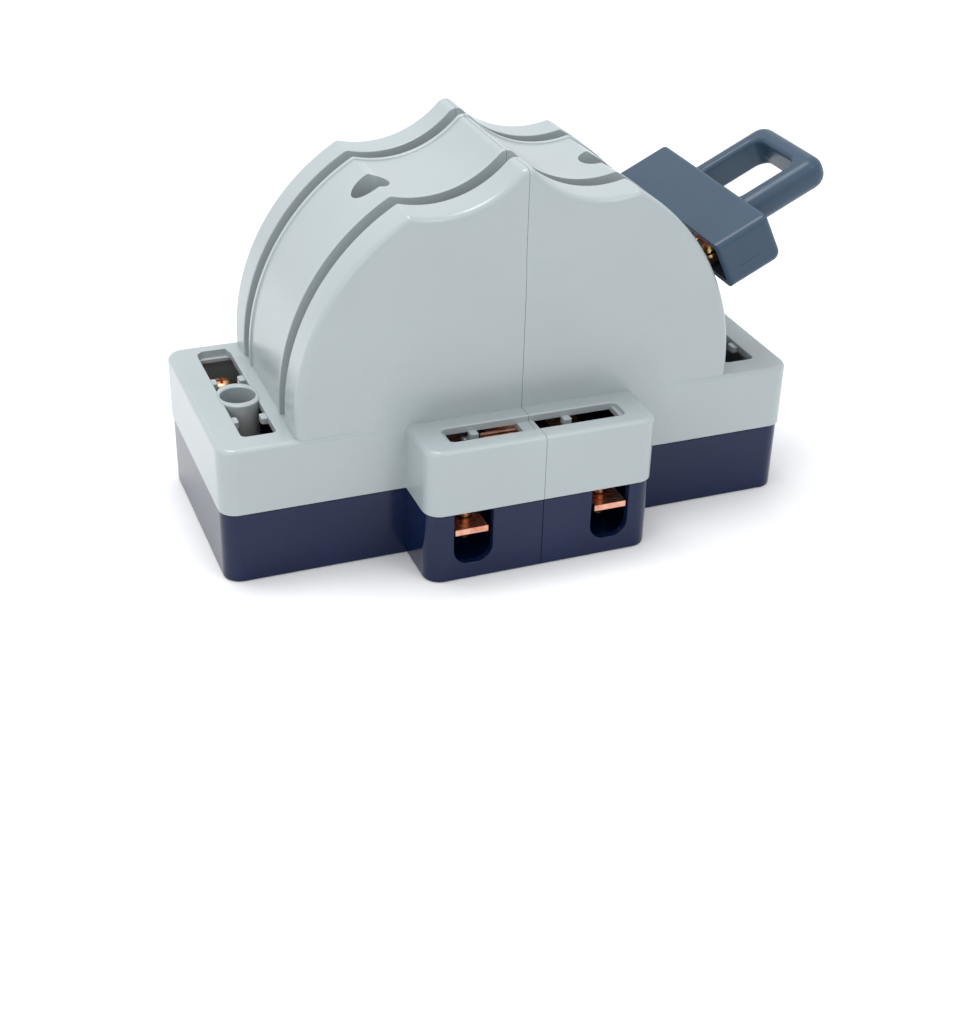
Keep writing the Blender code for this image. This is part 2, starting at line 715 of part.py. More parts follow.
def loop_grip():
    """A closed loop of bar, bevelled all round, in the plane of the blades' radius and Y."""
    outer = rounded(BLOCK_OUTER - 12, LOOP_OUTER, -LOOP_HALF_LENGTH, LOOP_HALF_LENGTH, 9, 5)
    inner = rounded(
        BLOCK_OUTER - 1,
        LOOP_OUTER - LOOP_BAR,
        -LOOP_HALF_LENGTH + LOOP_BAR,
        LOOP_HALF_LENGTH - LOOP_BAR,
        4,
        5,
    )
    bm = bmesh.new()
    rings = []
    for outline in (outer, inner):
        verts = [bm.verts.new((u, v, -LOOP_HALF_HEIGHT)) for u, v in outline]
        rings.append([bm.edges.new(pair) for pair in zip(verts, verts[1:] + verts[:1])])
    bmesh.ops.bridge_loops(bm, edges=rings[0] + rings[1])
    raised = bmesh.ops.extrude_face_region(bm, geom=bm.faces[:])["geom"]
    top = [item for item in raised if isinstance(item, bmesh.types.BMVert)]
    bmesh.ops.translate(bm, verts=top, vec=(0, 0, 2 * LOOP_HALF_HEIGHT))
    bmesh.ops.recalc_face_normals(bm, faces=bm.faces[:])
    rims = [e for e in bm.edges if e.calc_face_angle(0) > 1.2]
    bmesh.ops.bevel(
        bm, geom=rims, offset=2.4, affect="EDGES", segments=2, profile=0.5, material=-1
    )
    return bm


def main():
    clear_scene()
    navy = material("navy_phenolic", (0.025, 0.035, 0.075), 0.3)
    grey = material("pale_grey_abs", (0.46, 0.52, 0.54), 0.4)
    slate = material("slate_nylon", (0.08, 0.12, 0.18), 0.45)
    copper = material("copper", (0.72, 0.33, 0.2), 0.3, 1.0)
    brass = material("brass", (0.65, 0.48, 0.22), 0.3, 1.0)
    steel = material("zinc_steel", (0.6, 0.6, 0.58), 0.35, 1.0)

    pivot = bpy.data.objects.new("throw_pivot", None)
    bpy.context.scene.collection.objects.link(pivot)
    pivot.location = (0, 0, PIVOT_Z * MM)
    pivot.rotation_euler = (0, -math.radians(REST_ANGLE), 0)

    make_base(navy)
    for side_name, side in SIDES:
        make_cover(f"cover_{side_name}", side, grey)
        place = (side * WELL_X, WELL_Y, WELL_FLOOR + 3 + GAP)
        make_screw(f"cover_screw_{side_name}", steel, place, 3.6, 2.6, 1.9, 27)
    make_handle(slate, pivot)
    foot_top = PLATFORM_TOP + FOOT + BAR + 3 * GAP
    for pole_name, pole in POLES:
        y = pole * POLE_Y
        make_blade(pole_name, pole, copper, pivot)
        make_blade_hardware(pole_name, pole, brass, pivot)
        make_hinge(pole_name, pole, copper)
        make_hinge_hardware(pole_name, pole, steel)
        make_common_bar(pole_name, pole, copper)
        place = (pole * HINGE_SCREW_X, y, foot_top)
        make_screw(f"hinge_foot_screw_{pole_name}", steel, place, 3.6, 2.4, 1.9, 13)
        place = (pole * WINDOW_X, COMMON_SCREW_Y, COMMON_SCREW_Z)
        make_screw(f"common_terminal_screw_{pole_name}", copper, place, 4.6, 3.4, 2.4, 23)
        for side_name, side in SIDES:
            names = f"{side_name}_{pole_name}"
            make_jaw(names, side, pole, copper)
            make_jaw_spring(names, side, pole, steel)
            make_terminal_bar(names, side, pole, copper)
            place = (side * FOOT_SCREW_X, y, foot_top)
            make_screw(f"jaw_foot_screw_{names}", steel, place, 3.6, 2.4, 1.9, 13)
            place = (side * END_X, y, END_SCREW_Z)
            make_screw(f"terminal_screw_{names}", copper, place, 4.85, 3.0, 2.4, 16)


main()
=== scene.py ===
"""Looks of a covered two-pole, double-throw knife switch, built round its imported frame.

Mesh code works in millimetres, in the frame's own directions: X runs along the base, -Y is
the front with the terminal box, +Z is up. Each piece becomes metres when it is finished.
"""

import json
import math

import bmesh
import bpy
from bpy.props import FloatProperty, FloatVectorProperty, PointerProperty
from mathutils import Matrix, Vector

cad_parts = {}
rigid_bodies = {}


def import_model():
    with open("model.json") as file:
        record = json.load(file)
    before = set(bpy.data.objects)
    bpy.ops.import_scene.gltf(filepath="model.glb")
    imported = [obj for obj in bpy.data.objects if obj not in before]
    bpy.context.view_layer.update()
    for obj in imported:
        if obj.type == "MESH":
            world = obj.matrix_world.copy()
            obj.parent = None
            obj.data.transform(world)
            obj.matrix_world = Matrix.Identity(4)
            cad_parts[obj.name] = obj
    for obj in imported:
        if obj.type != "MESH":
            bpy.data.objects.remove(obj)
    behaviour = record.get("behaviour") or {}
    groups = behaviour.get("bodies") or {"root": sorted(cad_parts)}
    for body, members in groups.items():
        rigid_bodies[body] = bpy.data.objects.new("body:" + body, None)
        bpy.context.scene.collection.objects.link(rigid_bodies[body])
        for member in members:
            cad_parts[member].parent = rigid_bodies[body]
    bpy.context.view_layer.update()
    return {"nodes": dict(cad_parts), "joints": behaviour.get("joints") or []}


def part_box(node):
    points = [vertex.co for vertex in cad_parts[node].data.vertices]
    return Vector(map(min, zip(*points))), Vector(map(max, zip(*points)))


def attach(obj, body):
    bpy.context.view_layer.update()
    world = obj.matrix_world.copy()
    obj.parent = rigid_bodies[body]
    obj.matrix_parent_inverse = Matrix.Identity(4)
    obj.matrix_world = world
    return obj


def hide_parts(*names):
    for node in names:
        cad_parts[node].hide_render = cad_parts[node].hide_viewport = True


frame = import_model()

bl_info = {
    "name": "Knife Switch",
    "version": (1, 0, 0),
    "blender": (4, 5, 0),
    "location": "View3D > Sidebar > Knife Switch",
    "description": "Shells, handle, contacts and screws of a covered double-throw knife switch",
    "category": "Add Mesh",
}

MM = 0.001
FIXED, THROW = "base_assembly", "throw"
SIDES = (("left", -1), ("right", 1))
POLES = (("front", -1), ("rear", 1))


def box_of(node):
    """The lowest and highest corners of a CAD node, in millimetres."""
    low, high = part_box(node)
    return low / MM, high / MM


# Sizes read from the frame
COVER_BOX = box_of("cover_right")
BASE_BOX = box_of("base")
JOINT = frame["joints"][0]
PIVOT_Z = JOINT["pos_m"][2] / MM
HALF_LENGTH, HALF_WIDTH = COVER_BOX[1].x, COVER_BOX[1].y
BOX_FRONT = COVER_BOX[0].y
GAP = 2 * COVER_BOX[0].x
BASE_LENGTH_HALF, BASE_WIDTH_HALF = BASE_BOX[1].x, BASE_BOX[1].y
SETBACK = HALF_LENGTH - BASE_LENGTH_HALF
CLOSED_ANGLE = 4.5
REST_ANGLE = CLOSED_ANGLE + JOINT["range_deg"][1]
POLE_Y = sum(corner.y for corner in box_of("blade_rear")) / 2
WELL = sum(box_of("cover_screw_right"), Vector()) / 2
END = sum(box_of("terminal_screw_right_rear"), Vector()) / 2
TUBE_Y = WELL.y
BLADE_SCREW = sum(box_of("blade_nut_rear"), Vector()) / 2
BLADE_SCREW_R = math.hypot(BLADE_SCREW.x, BLADE_SCREW.z - PIVOT_Z)

# Sizes of the mouldings
CORNER_R = 7.0
WALL = 3.0
SEAM = 0.06
SEAM_EDGE = 0.12
COVER_LOW = 29.8
BASE_HEIGHT = COVER_LOW - GAP
FLANGE_TOP = 57.3
CEILING = FLANGE_TOP - WALL
BOX_HALF = 47.5
FACE_Y = 46.0
ARCH_R = 90.4
ARCH_FOOT = 50.0
SCALLOP_R = 43.0
SCALLOP = (34.0, 181.2)
RIDGE_R = 4.2
SHOULDER_R = 2.2
DRUM_R = 76.0
SLOT_NEAR, SLOT_FAR = 23.2, 30.9
SLOT_WALL = 2.5
END_HALF = 6.7
END_Y = (-36.3, 38.2)
LEDGE_BACK = 40.5
LEDGE_Z = 54.4
WELL_R = 7.3
WELL_FLOOR = 60.0
BOX_SLOT = (-36.5, 36.5, -65.0, -54.0)
BRIDGE_TOP = 54.8
FLOOR_TOP = 6.0
PLATFORM_TOP = 29.6
TERMINAL_TOP = 41.6
WINDOW_X = 28.6
WINDOW_HALF = 7.9
WINDOW_LOW, WINDOW_R = 7.0, 6.5
LOW_R = 0.5
BLADE_END, BLADE_HALF = 112.0, 7.5
BAR_THICKNESS, PLATE_LOW, BAR_DROP_Y = 2.7, 19.5, -58.0
SCREW_HOLE_R, TERMINAL_HOLE_R = 2.3, 2.8
BEYOND = 200.0

# Texture sizes in millimetres, and the range that a noise's values mostly keep to
CLOUD_SIZE, SMEAR_SIZE, PATCH_SIZE = 38, 9, 4.5
NOISE_LOW, NOISE_HIGH = 0.3, 0.7
# The Mix node's colour sockets, which share their names with its number sockets
MIX_A, MIX_B, MIX_RESULT = 6, 7, 2

# Camera, in metres and degrees
CAMERA_PLACE = (-0.2279, -0.5732, 0.3518)
CAMERA_YAW, CAMERA_PITCH, CAMERA_ROLL = 21.95, 30.85, 1.61
CAMERA_LENS, CAMERA_SENSOR = 58.207, 36.0


# Outlines: lists of (u, v) points


def arc(u, v, radius, start, end, steps):
    """Points on a circle round (u, v), from one angle to another in degrees."""
    turns = [math.radians(start + (end - start) * i / steps) for i in range(steps + 1)]
    return [(u + radius * math.cos(a), v + radius * math.sin(a)) for a in turns]


def rounded(u_low, u_high, v_low, v_high, radii, steps=8):
    """Gives the outline, at any inset, of a rectangle with round corners."""
    if not isinstance(radii, tuple):
        radii = (radii,) * 4

    def at(inset=0.0):
        corners = ((u_high, v_low, -90), (u_high, v_high, 0), (u_low, v_high, 90), (u_low, v_low, 180))
        points = []
        for (u, v, start), full in zip(corners, radii):
            radius = max(full - inset, 0.05)
            reach = inset + radius
            toward_u = -reach if u == u_high else reach
            toward_v = -reach if v == v_high else reach
            points += arc(u + toward_u, v + toward_v, radius, start, start + 90, steps)
        return points

    return at


def disc(u, v, radius, steps=48):
    return lambda inset=0.0: arc(u, v, radius - inset, 0, 360, steps)[:-1]


def obround(u, v, length, width):
    """A slot's outline, long in v."""
    return rounded(u - width / 2, u + width / 2, v - length / 2, v + length / 2, width * 0.495, 14)


def fixed(points):
    return lambda inset=0.0: points


def meeting(radius, other_radius):
    """Where a circle round the pivot meets one round the right scallop's centre, outside it."""
    centre = Vector((SCALLOP[0], SCALLOP[1] - PIVOT_Z))
    apart = centre.length
    along = (apart**2 + radius**2 - other_radius**2) / (2 * apart)
    across = math.sqrt(radius**2 - along**2)
    unit = centre / apart
    return Vector((unit.x * along + unit.y * across, PIVOT_Z + unit.y * along - unit.x * across))


def arch(inset=0.0):
    """The arch from the front: round sides, a soft shoulder, two scallops and a ridge."""
    radius = ARCH_R - inset
    scallop = SCALLOP_R + inset
    ridge = max(RIDGE_R - inset, 0.3)
    shoulder_r = max(SHOULDER_R - inset, 0.2)
    shoulder = meeting(radius - shoulder_r, scallop + shoulder_r)
    side = math.degrees(math.atan2(shoulder.y - PIVOT_Z, shoulder.x))
    dip = math.degrees(math.atan2(shoulder.y - SCALLOP[1], shoulder.x - SCALLOP[0]))
    ridge_v = SCALLOP[1] - math.sqrt((scallop + ridge) ** 2 - SCALLOP[0] ** 2)
    dip_end = math.degrees(math.atan2(ridge_v - SCALLOP[1], -SCALLOP[0]))
    lean = math.degrees(math.atan2(SCALLOP[1] - ridge_v, SCALLOP[0]))
    right = [(radius, ARCH_FOOT)]
    right += arc(0, PIVOT_Z, radius, 0, side, 40)
    right += arc(*shoulder, shoulder_r, side, dip + 180, 5)[1:]
    right += arc(*SCALLOP, scallop, dip, dip_end, 28)[1:]
    right += arc(0, ridge_v, ridge, lean, 90, 5)[1:]
    return right + [(-u, v) for u, v in reversed(right[:-1])]


# Meshes

PLACES = {
    "Z": lambda u, v, w: (u, v, w),
    "Y": lambda u, v, w: (u, w, v),
    "X": lambda u, v, w: (w, u, v),
}


def loft(outline_at, profile, axis="Z"):
    """A closed solid through an outline that (inset, height) points move in and along an axis."""
    bm = bmesh.new()
    rings = []
    for inset, height in profile:
        verts = [bm.verts.new(PLACES[axis](u, v, height)) for u, v in outline_at(inset)]
        rings.append([bm.edges.new(pair) for pair in zip(verts, verts[1:] + verts[:1])])
    for low, high in zip(rings, rings[1:]):
        bmesh.ops.bridge_loops(bm, edges=low + high)
    for end in (rings[0], rings[-1]):
        bmesh.ops.contextual_create(bm, geom=end)
    bmesh.ops.recalc_face_normals(bm, faces=bm.faces[:])
    return bm


def quarter(start, radius, way, steps=6):
    """(inset, height) points of a round edge that ends on a face at height start."""
    turns = [math.pi / 2 * i / steps for i in range(steps + 1)]
    return [
        (radius - radius * math.cos(t), start - way * radius * (1 - math.sin(t))) for t in turns
    ]


def slab(outline_at, low, high, axis="Z", low_r=0.0, high_r=0.0):
    """An outline made solid from low to high, with round edges at either end."""
    start = quarter(low, low_r, -1)[::-1] if low_r else [(0, low)]
    end = quarter(high, high_r, 1) if high_r else [(0, high)]
    return loft(outline_at, start + end, axis)


def cutter(outline_at, deep, rim, flare, axis="Z"):
    """A tool that cuts in from a face at height rim to deep, and leaves a round edge there."""
    way = 1 if rim > deep else -1
    opened = [(-inset, height) for inset, height in quarter(rim, flare, way)]
    return loft(outline_at, [(0, deep), *opened, (-flare, rim + 2 * way)], axis)


def turned(profile, steps=40):
    """A solid turned round Z from (radius, height) points."""
    bm = bmesh.new()
    verts = [bm.verts.new((radius, 0.0, height)) for radius, height in profile]
    edges = [bm.edges.new(pair) for pair in zip(verts, verts[1:])]
    bmesh.ops.spin(
        bm,
        geom=verts + edges,
        cent=(0, 0, 0),
        axis=(0, 0, 1),
        angle=math.tau,
        steps=steps,
        use_merge=True,
    )
    bmesh.ops.remove_doubles(bm, verts=bm.verts[:], dist=1e-4)
    bmesh.ops.recalc_face_normals(bm, faces=bm.faces[:])
    return bm


def placed(bm, x=0.0, y=0.0, z=0.0, turn=None):
    if turn:
        bmesh.ops.rotate(bm, verts=bm.verts[:], cent=(0, 0, 0), matrix=turn)
    bmesh.ops.translate(bm, verts=bm.verts[:], vec=(x, y, z))
    return bm


def together(*parts):
    """Several bmeshes in one, without joining their faces."""
    whole = bmesh.new()
    for part in parts:
        mesh = bpy.data.meshes.new("part")
        part.to_mesh(mesh)
        part.free()
        whole.from_mesh(mesh)
        bpy.data.meshes.remove(mesh)
    return whole


def both(make):
    """What make builds for the left side and for the right one."""
    return together(make(-1), make(1))


def loose_object(bm):
    mesh = bpy.data.meshes.new("tool")
    bm.to_mesh(mesh)
    bm.free()
    obj = bpy.data.objects.new("tool", mesh)
    bpy.context.scene.collection.objects.link(obj)
    return obj


def shaped(bm, *steps):
    """The solid after a row of (operation, tool) Booleans, which joins or cuts it in turn."""
    target = loose_object(bm)
    helpers = []
    for operation, tool in steps:
        helpers.append(loose_object(tool))
        modifier = target.modifiers.new(operation, "BOOLEAN")
        modifier.operation = operation
        modifier.solver = "EXACT"
        modifier.object = helpers[-1]
    graph = bpy.context.evaluated_depsgraph_get()
    mesh = bpy.data.meshes.new_from_object(target.evaluated_get(graph))
    result = bmesh.new()
    result.from_mesh(mesh)
    for obj in (target, *helpers):
        bpy.data.meshes.remove(obj.data)
    bpy.data.meshes.remove(mesh)
    return result


def join(tool):
    return "UNION", tool


def cut(tool):
    return "DIFFERENCE", tool


def soften(bm, chosen, width, segments=2):
    """Rounds the edges that chosen picks."""
    edges = [edge for edge in bm.edges if chosen(edge)]
    bmesh.ops.bevel(
        bm,
        geom=edges,
        offset=width,
        offset_type="OFFSET",
        affect="EDGES",
        segments=segments,
        profile=0.5,
        material=-1,
        clamp_overlap=True,
    )
    return bm


def rightangled(edge):
    return edge.calc_face_angle(0) > math.radians(60)


def at_seam(edge):
    """A sharp edge of the faces where the cover's halves meet."""
    return rightangled(edge) and all(abs(abs(v.co.x) - SEAM) < 1e-3 for v in edge.verts)


def finished(name, bm, finish, body, slot, *nodes, sharp=30):
    """The bmesh as a piece in metres that rides on a body and stands for CAD nodes."""
    bmesh.ops.scale(bm, vec=(MM, MM, MM), verts=bm.verts[:])
    mesh = bpy.data.meshes.new(name)
    bm.to_mesh(mesh)
    bm.free()
    mesh.shade_smooth()
    mesh.set_sharp_from_angle(angle=math.radians(sharp))
    mesh.materials.append(finish)
    obj = bpy.data.objects.new(name, mesh)
    bpy.context.scene.collection.objects.link(obj)
    normals = obj.modifiers.new("Normals", "WEIGHTED_NORMAL")
    normals.keep_sharp = True
    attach(obj, body)
    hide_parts(*nodes)
    return obj


def thrown(bm):
    """From the blade's own directions, with the pivot at the origin, to the rest position."""
    turn = Matrix.Rotation(-math.radians(REST_ANGLE), 3, "Y")
    return placed(bm, z=PIVOT_Z, turn=turn)


# Materials


def linear(code):
    """An sRGB hex colour as linear red, green and blue."""
    parts = [int(code[i : i + 2], 16) / 255 for i in (1, 3, 5)]
    return tuple(c / 12.92 if c <= 0.04045 else ((c + 0.055) / 1.055) ** 2.4 for c in parts)


def add_node(tree, kind, inputs=None, **settings):
    """A node with its settings; an input takes a value or another node's output."""
    made = tree.nodes.new(kind)
    for name, value in settings.items():
        setattr(made, name, value)
    for name, value in (inputs or {}).items():
        if isinstance(value, bpy.types.NodeSocket):
            tree.links.new(value, made.inputs[name])
        else:
            made.inputs[name].default_value = value
    return made


def new_material(name):
    """An empty material with a shader, and its place in the piece's own millimetres."""
    made = bpy.data.materials.new(name)
    made.use_nodes = True
    tree = made.node_tree
    coordinates = add_node(tree, "ShaderNodeTexCoord")
    shader = tree.nodes["Principled BSDF"]
    return made, tree, coordinates.outputs["Object"], shader


def per_mm(size):
    """A texture's scale for details of that size in millimetres."""
    return 1.0 / (size * MM)


def moulded_plastic(name, colour, roughness, cloud=0.05, grain=0.6, grain_height=0.012, ior=1.53):
    """An injection- or compression-moulded skin: faint flow clouds, a fine grain and a painted highlight on
    convex edges.
    """
    made, tree, place, shader = new_material(name)
    clouds = add_node(
        tree,
        "ShaderNodeTexNoise",
        {"Vector": place, "Scale": per_mm(CLOUD_SIZE), "Detail": 3.0, "Roughness": 0.55},
    )
    shade = add_node(
        tree,
        "ShaderNodeMapRange",
        {
            "Value": clouds.outputs["Fac"],
            "From Min": NOISE_LOW,
            "From Max": NOISE_HIGH,
            "To Min": 1 - cloud,
            "To Max": 1 + cloud,
        },
    )
    toned = add_node(
        tree, "ShaderNodeVectorMath", {0: colour, "Scale": shade.outputs["Result"]}, operation="SCALE"
    )
    geometry = add_node(tree, "ShaderNodeNewGeometry")
    # Painted highlight: convex edges, picked out by pointiness, are mixed towards a paler tone of the
    # colour.
    edges = add_node(
        tree,
        "ShaderNodeMapRange",
        {
            "Value": geometry.outputs["Pointiness"],
            "From Min": 0.515,
            "From Max": 0.60,
            "To Min": 0.0,
            "To Max": 0.35,
        },
    )
    highlight_tone = [min(1.0, c * 1.25 + 0.01) for c in colour]
    edge_highlight = add_node(
        tree,
        "ShaderNodeMix",
        {
            "Factor": edges.outputs["Result"],
            MIX_A: toned.outputs["Vector"],
            MIX_B: (*highlight_tone, 1.0),
        },
        data_type="RGBA",
    )
    tree.links.new(edge_highlight.outputs[MIX_RESULT], shader.inputs["Base Color"])
    smears = add_node(
        tree,
        "ShaderNodeTexNoise",
        {"Vector": place, "Scale": per_mm(SMEAR_SIZE), "Detail": 4.0, "Roughness": 0.6},
    )
    rough = add_node(
        tree,
        "ShaderNodeMapRange",
        {
            "Value": smears.outputs["Fac"],
            "From Min": NOISE_LOW,
            "From Max": NOISE_HIGH,
            "To Min": roughness * 0.88,
            "To Max": roughness * 1.12,
        },
    )
    tree.links.new(rough.outputs["Result"], shader.inputs["Roughness"])
    fine = add_node(
        tree,
        "ShaderNodeTexNoise",
        {"Vector": place, "Scale": per_mm(grain), "Detail": 2.0, "Roughness": 0.5},
    )
    peel = add_node(
        tree,
        "ShaderNodeTexNoise",
        {"Vector": place, "Scale": per_mm(grain * 14), "Detail": 1.0, "Roughness": 0.4},
    )
    height = add_node(
        tree,
        "ShaderNodeMath",
        {0: peel.outputs["Fac"], 1: 2.5, 2: fine.outputs["Fac"]},
        operation="MULTIPLY_ADD",
    )
    bump = add_node(
        tree,
        "ShaderNodeBump",
        {"Height": height.outputs["Value"], "Strength": 1.0, "Distance": grain_height * MM},
    )
    tree.links.new(bump.outputs["Normal"], shader.inputs["Normal"])
    shader.inputs["IOR"].default_value = ior
    return made


def bare_metal(name, colour, stain, roughness, stretch=(1.0, 1.0, 1.0), streak=0.25):
    """A bare or thinly plated metal: rolling or turning streaks, and patches of stain."""
    made, tree, place, shader = new_material(name)
    along = add_node(tree, "ShaderNodeMapping", {"Vector": place, "Scale": stretch})
    streaks = add_node(
        tree,
        "ShaderNodeTexNoise",
        {"Vector": along.outputs["Vector"], "Scale": per_mm(streak), "Detail": 3.0, "Roughness": 0.6},
    )
    patches = add_node(
        tree,
        "ShaderNodeTexNoise",
        {"Vector": place, "Scale": per_mm(PATCH_SIZE), "Detail": 4.0, "Roughness": 0.62},
    )
    spread = add_node(
        tree,
        "ShaderNodeMapRange",
        {
            "Value": patches.outputs["Fac"],
            "From Min": 0.42,
            "From Max": 0.68,
            "To Min": 0.0,
            "To Max": 0.85,
        },
    )
    tone = add_node(
        tree,
        "ShaderNodeMix",
        {"Factor": spread.outputs["Result"], MIX_A: (*colour, 1.0), MIX_B: (*stain, 1.0)},
        data_type="RGBA",
    )
    tree.links.new(tone.outputs[MIX_RESULT], shader.inputs["Base Color"])
    rough = add_node(
        tree,
        "ShaderNodeMapRange",
        {
            "Value": streaks.outputs["Fac"],
            "From Min": NOISE_LOW,
            "From Max": NOISE_HIGH,
            "To Min": roughness * 0.8,
            "To Max": roughness * 1.3,
        },
    )
    tree.links.new(rough.outputs["Result"], shader.inputs["Roughness"])
    bump = add_node(
        tree,
        "ShaderNodeBump",
        {"Height": streaks.outputs["Fac"], "Strength": 0.6, "Distance": 0.02 * MM},
    )
    tree.links.new(bump.outputs["Normal"], shader.inputs["Normal"])
    shader.inputs["Metallic"].default_value = 1.0
    return made


def material(name):
    """One of the object's finishes, made when it is first asked for."""
    found = bpy.data.materials.get(name)
    return found or FINISHES[name](name)


def moulded_abs(name):
    # ABS from a lightly textured mould: pale, satin, with an even sheen and no hard glare.
    colours = bpy.context.scene.knife_switch_colours
    return moulded_plastic(name, tuple(colours.cover), 0.24, cloud=0.02, grain=0.5, grain_height=0.010)


def phenolic(name):
    # Compression-moulded phenolic: dark, glossy, with a slight ripple that bends reflections.
    colours = bpy.context.scene.knife_switch_colours
    return moulded_plastic(
        name, tuple(colours.base), 0.16, cloud=0.06, grain=0.7, grain_height=0.004, ior=1.38
    )


def moulded_nylon(name):
    # Moulded nylon: mid slate blue, soft sheen, slightly uneven where the melt flowed.
    colours = bpy.context.scene.knife_switch_colours
    return moulded_plastic(
        name, tuple(colours.handle), 0.36, cloud=0.05, grain=0.45, grain_height=0.010, ior=1.42
    )


def rolled_copper(name):
    # Bare rolled copper: pink when clean, browner where it has stained, drawn along X.
    return bare_metal(name, linear("#E6AD97"), linear("#BE7A5C"), 0.28, stretch=(0.06, 1.0, 1.0))


def copper_flash(name):
    # Copper-flashed steel screws: more orange than the bars, with turning marks.
    return bare_metal(name, linear("#F0BC92"), linear("#B8744A"), 0.30, stretch=(1.0, 1.0, 4.0))


def turned_brass(name):
    # Turned brass: yellow, fairly bright, fine turning marks.
    return bare_metal(name, linear("#D9BC7A"), linear("#9C7A3C"), 0.24, stretch=(1.0, 4.0, 1.0))


def zinc_plate(name):
    # Bright zinc plate on steel: pale grey, slightly cloudy.
    return bare_metal(name, linear("#C9CAC6"), linear("#9FA09C"), 0.30)


FINISHES = {
    "moulded_abs": moulded_abs,
    "phenolic": phenolic,
    "moulded_nylon": moulded_nylon,
    "rolled_copper": rolled_copper,
    "copper_flash": copper_flash,
    "turned_brass": turned_brass,
    "zinc_plate": zinc_plate,
}


# Settings that a user would change


class KnifeSwitchColours(bpy.types.PropertyGroup):
    """Colours of the three mouldings."""

    cover: FloatVectorProperty(
        name="Cover",
        description="Pale grey of both cover halves",
        subtype="COLOR",
        default=linear("#A9B2B4"),
    )
    base: FloatVectorProperty(
        name="Base",
        description="Dark blue of the base",
        subtype="COLOR",
        default=linear("#0A1A3D"),
    )
    handle: FloatVectorProperty(
        name="Handle",
        description="Slate blue of the handle",
        subtype="COLOR",
        default=linear("#34495C"),
    )


class KnifeSwitchCover(bpy.types.PropertyGroup):
    """Round edges and beads of the cover."""

    flange_edge: FloatProperty(
        name="Flange edge",
        description="Radius along the flange's top",
        default=2.3 * MM,
        unit="LENGTH",
    )
    face_edge: FloatProperty(
        name="Face edge",
        description="Radius round the arch's two faces",
        default=2.9 * MM,
        unit="LENGTH",
    )
    bead_width: FloatProperty(
        name="Bead width",
        description="Width of the bead beside each blade slot",
        default=2.3 * MM,
        unit="LENGTH",
    )
    bead_rise: FloatProperty(
        name="Bead rise",
        description="Height of that bead over the middle band",
        default=0.7 * MM,
        unit="LENGTH",
    )
    face_swell: FloatProperty(
        name="Face swell",
        description="How far the front face stands out in its middle",
        default=0.9 * MM,
        unit="LENGTH",
    )


class KnifeSwitchHandle(bpy.types.PropertyGroup):
    """Round edges of the handle."""

    block_edge: FloatProperty(
        name="Block edge",
        description="Radius along the crossbar's upper edge",
        default=2.0 * MM,
        unit="LENGTH",
    )
    loop_edge: FloatProperty(
        name="Loop edge",
        description="Radius round the outside of the loop's bar",
        default=5.5 * MM,
        unit="LENGTH",
    )


class KnifeSwitchStage(bpy.types.PropertyGroup):
    """Floor and lights."""

    floor: FloatVectorProperty(
        name="Floor",
        description="Colour of the floor",
        subtype="COLOR",
        default=linear("#FAFAFA"),
    )
    sky: FloatProperty(name="Sky", description="Strength of the even light", default=0.88)
    top: FloatProperty(name="Top light", description="Strength of the light from above", default=1.2)
    side: FloatProperty(name="Side light", description="Strength of the light from the left", default=0.24)


# Cover


def plate_profile(face, slot_side, face_r, slot_r):
    """(inset, y) points of an outer plate, from its face to the side by the slot."""
    way = 1 if face > slot_side else -1
    return quarter(face, face_r, way, 10)[::-1] + quarter(slot_side, slot_r, -way, 3)


def middle_profile(width, rise):
    """(inset, y) points of the middle band with its two beads, from front to rear."""
    soft = 0.35
    inner = SLOT_NEAR - width
    half = [(soft, SLOT_NEAR), (soft * 0.25, SLOT_NEAR - soft * 0.3), (0, SLOT_NEAR - soft)]
    half += [(0, inner + 0.3), (rise * 0.2, inner + 0.08), (rise * 0.85, inner - 0.15), (rise, inner - 0.4)]
    return [(inset, -y) for inset, y in half] + [(inset, y) for inset, y in reversed(half)]


def swollen_face(swell):
    """A low disc that brings the front face out level with the flange below it."""
    centre_z, outer, inner = 50.0, 71.0, 59.0
    foot = centre_z - 8

    def outline_at(inset=0.0):
        radius = outer - inset
        low = math.degrees(math.asin((foot - centre_z) / radius))
        return arc(0, centre_z, radius, low, 180 - low, 60)

    profile = [(0, -FACE_Y + 1), (0, -FACE_Y + 0.06)]
    for i in range(1, 9):
        share = i / 8
        eased = share * share * (3 - 2 * share)
        profile.append(((outer - inner) * share, -FACE_Y + 0.06 - swell * eased))
    return loft(outline_at, profile, "Y")


def well_post(side):
    """The solid wall round a screw well, which the hollows leave standing."""
    return slab(disc(side * WELL.x, WELL.y, WELL_R + 2.0, 64), WELL_FLOOR, 170)


def end_ledge(side):
    x = side * END.x
    outline = rounded(x - END_HALF - 2, x + END_HALF + 2, END_Y[1], HALF_WIDTH - 2, 0.3, 1)
    return slab(outline, LEDGE_Z - 1.4, CEILING + 1)


def end_opening(side):
    x = side * END.x
    outline = rounded(x - END_HALF, x + END_HALF, *END_Y, 2.0)
    return cutter(outline, 48, FLANGE_TOP, 0.5)


def end_step(side):
    """The step at the opening's rear, with its two cut corners."""
    inner, outer = END.x - END_HALF, END.x + END_HALF
    near = END_Y[1] - 4
    points = [
        (outer, near),
        (outer, END_Y[1]),
        (outer - 2.4, LEDGE_BACK),
        (inner + 1.3, LEDGE_BACK),
        (inner, LEDGE_BACK - 4.8),
        (inner, near),
    ]
    return slab(fixed([(side * u, v) for u, v in points]), LEDGE_Z, FLANGE_TOP + 1)


def end_tube(side):
    outline = obround(side * END.x, TUBE_Y, 20.6, 15.3)
    return slab(outline, FLOOR_TOP + GAP, FLANGE_TOP + 0.6, high_r=0.6)


def end_bore(side):
    return cutter(disc(side * END.x, TUBE_Y, 6.9), FLOOR_TOP - 1, FLANGE_TOP + 0.6, 0.6)


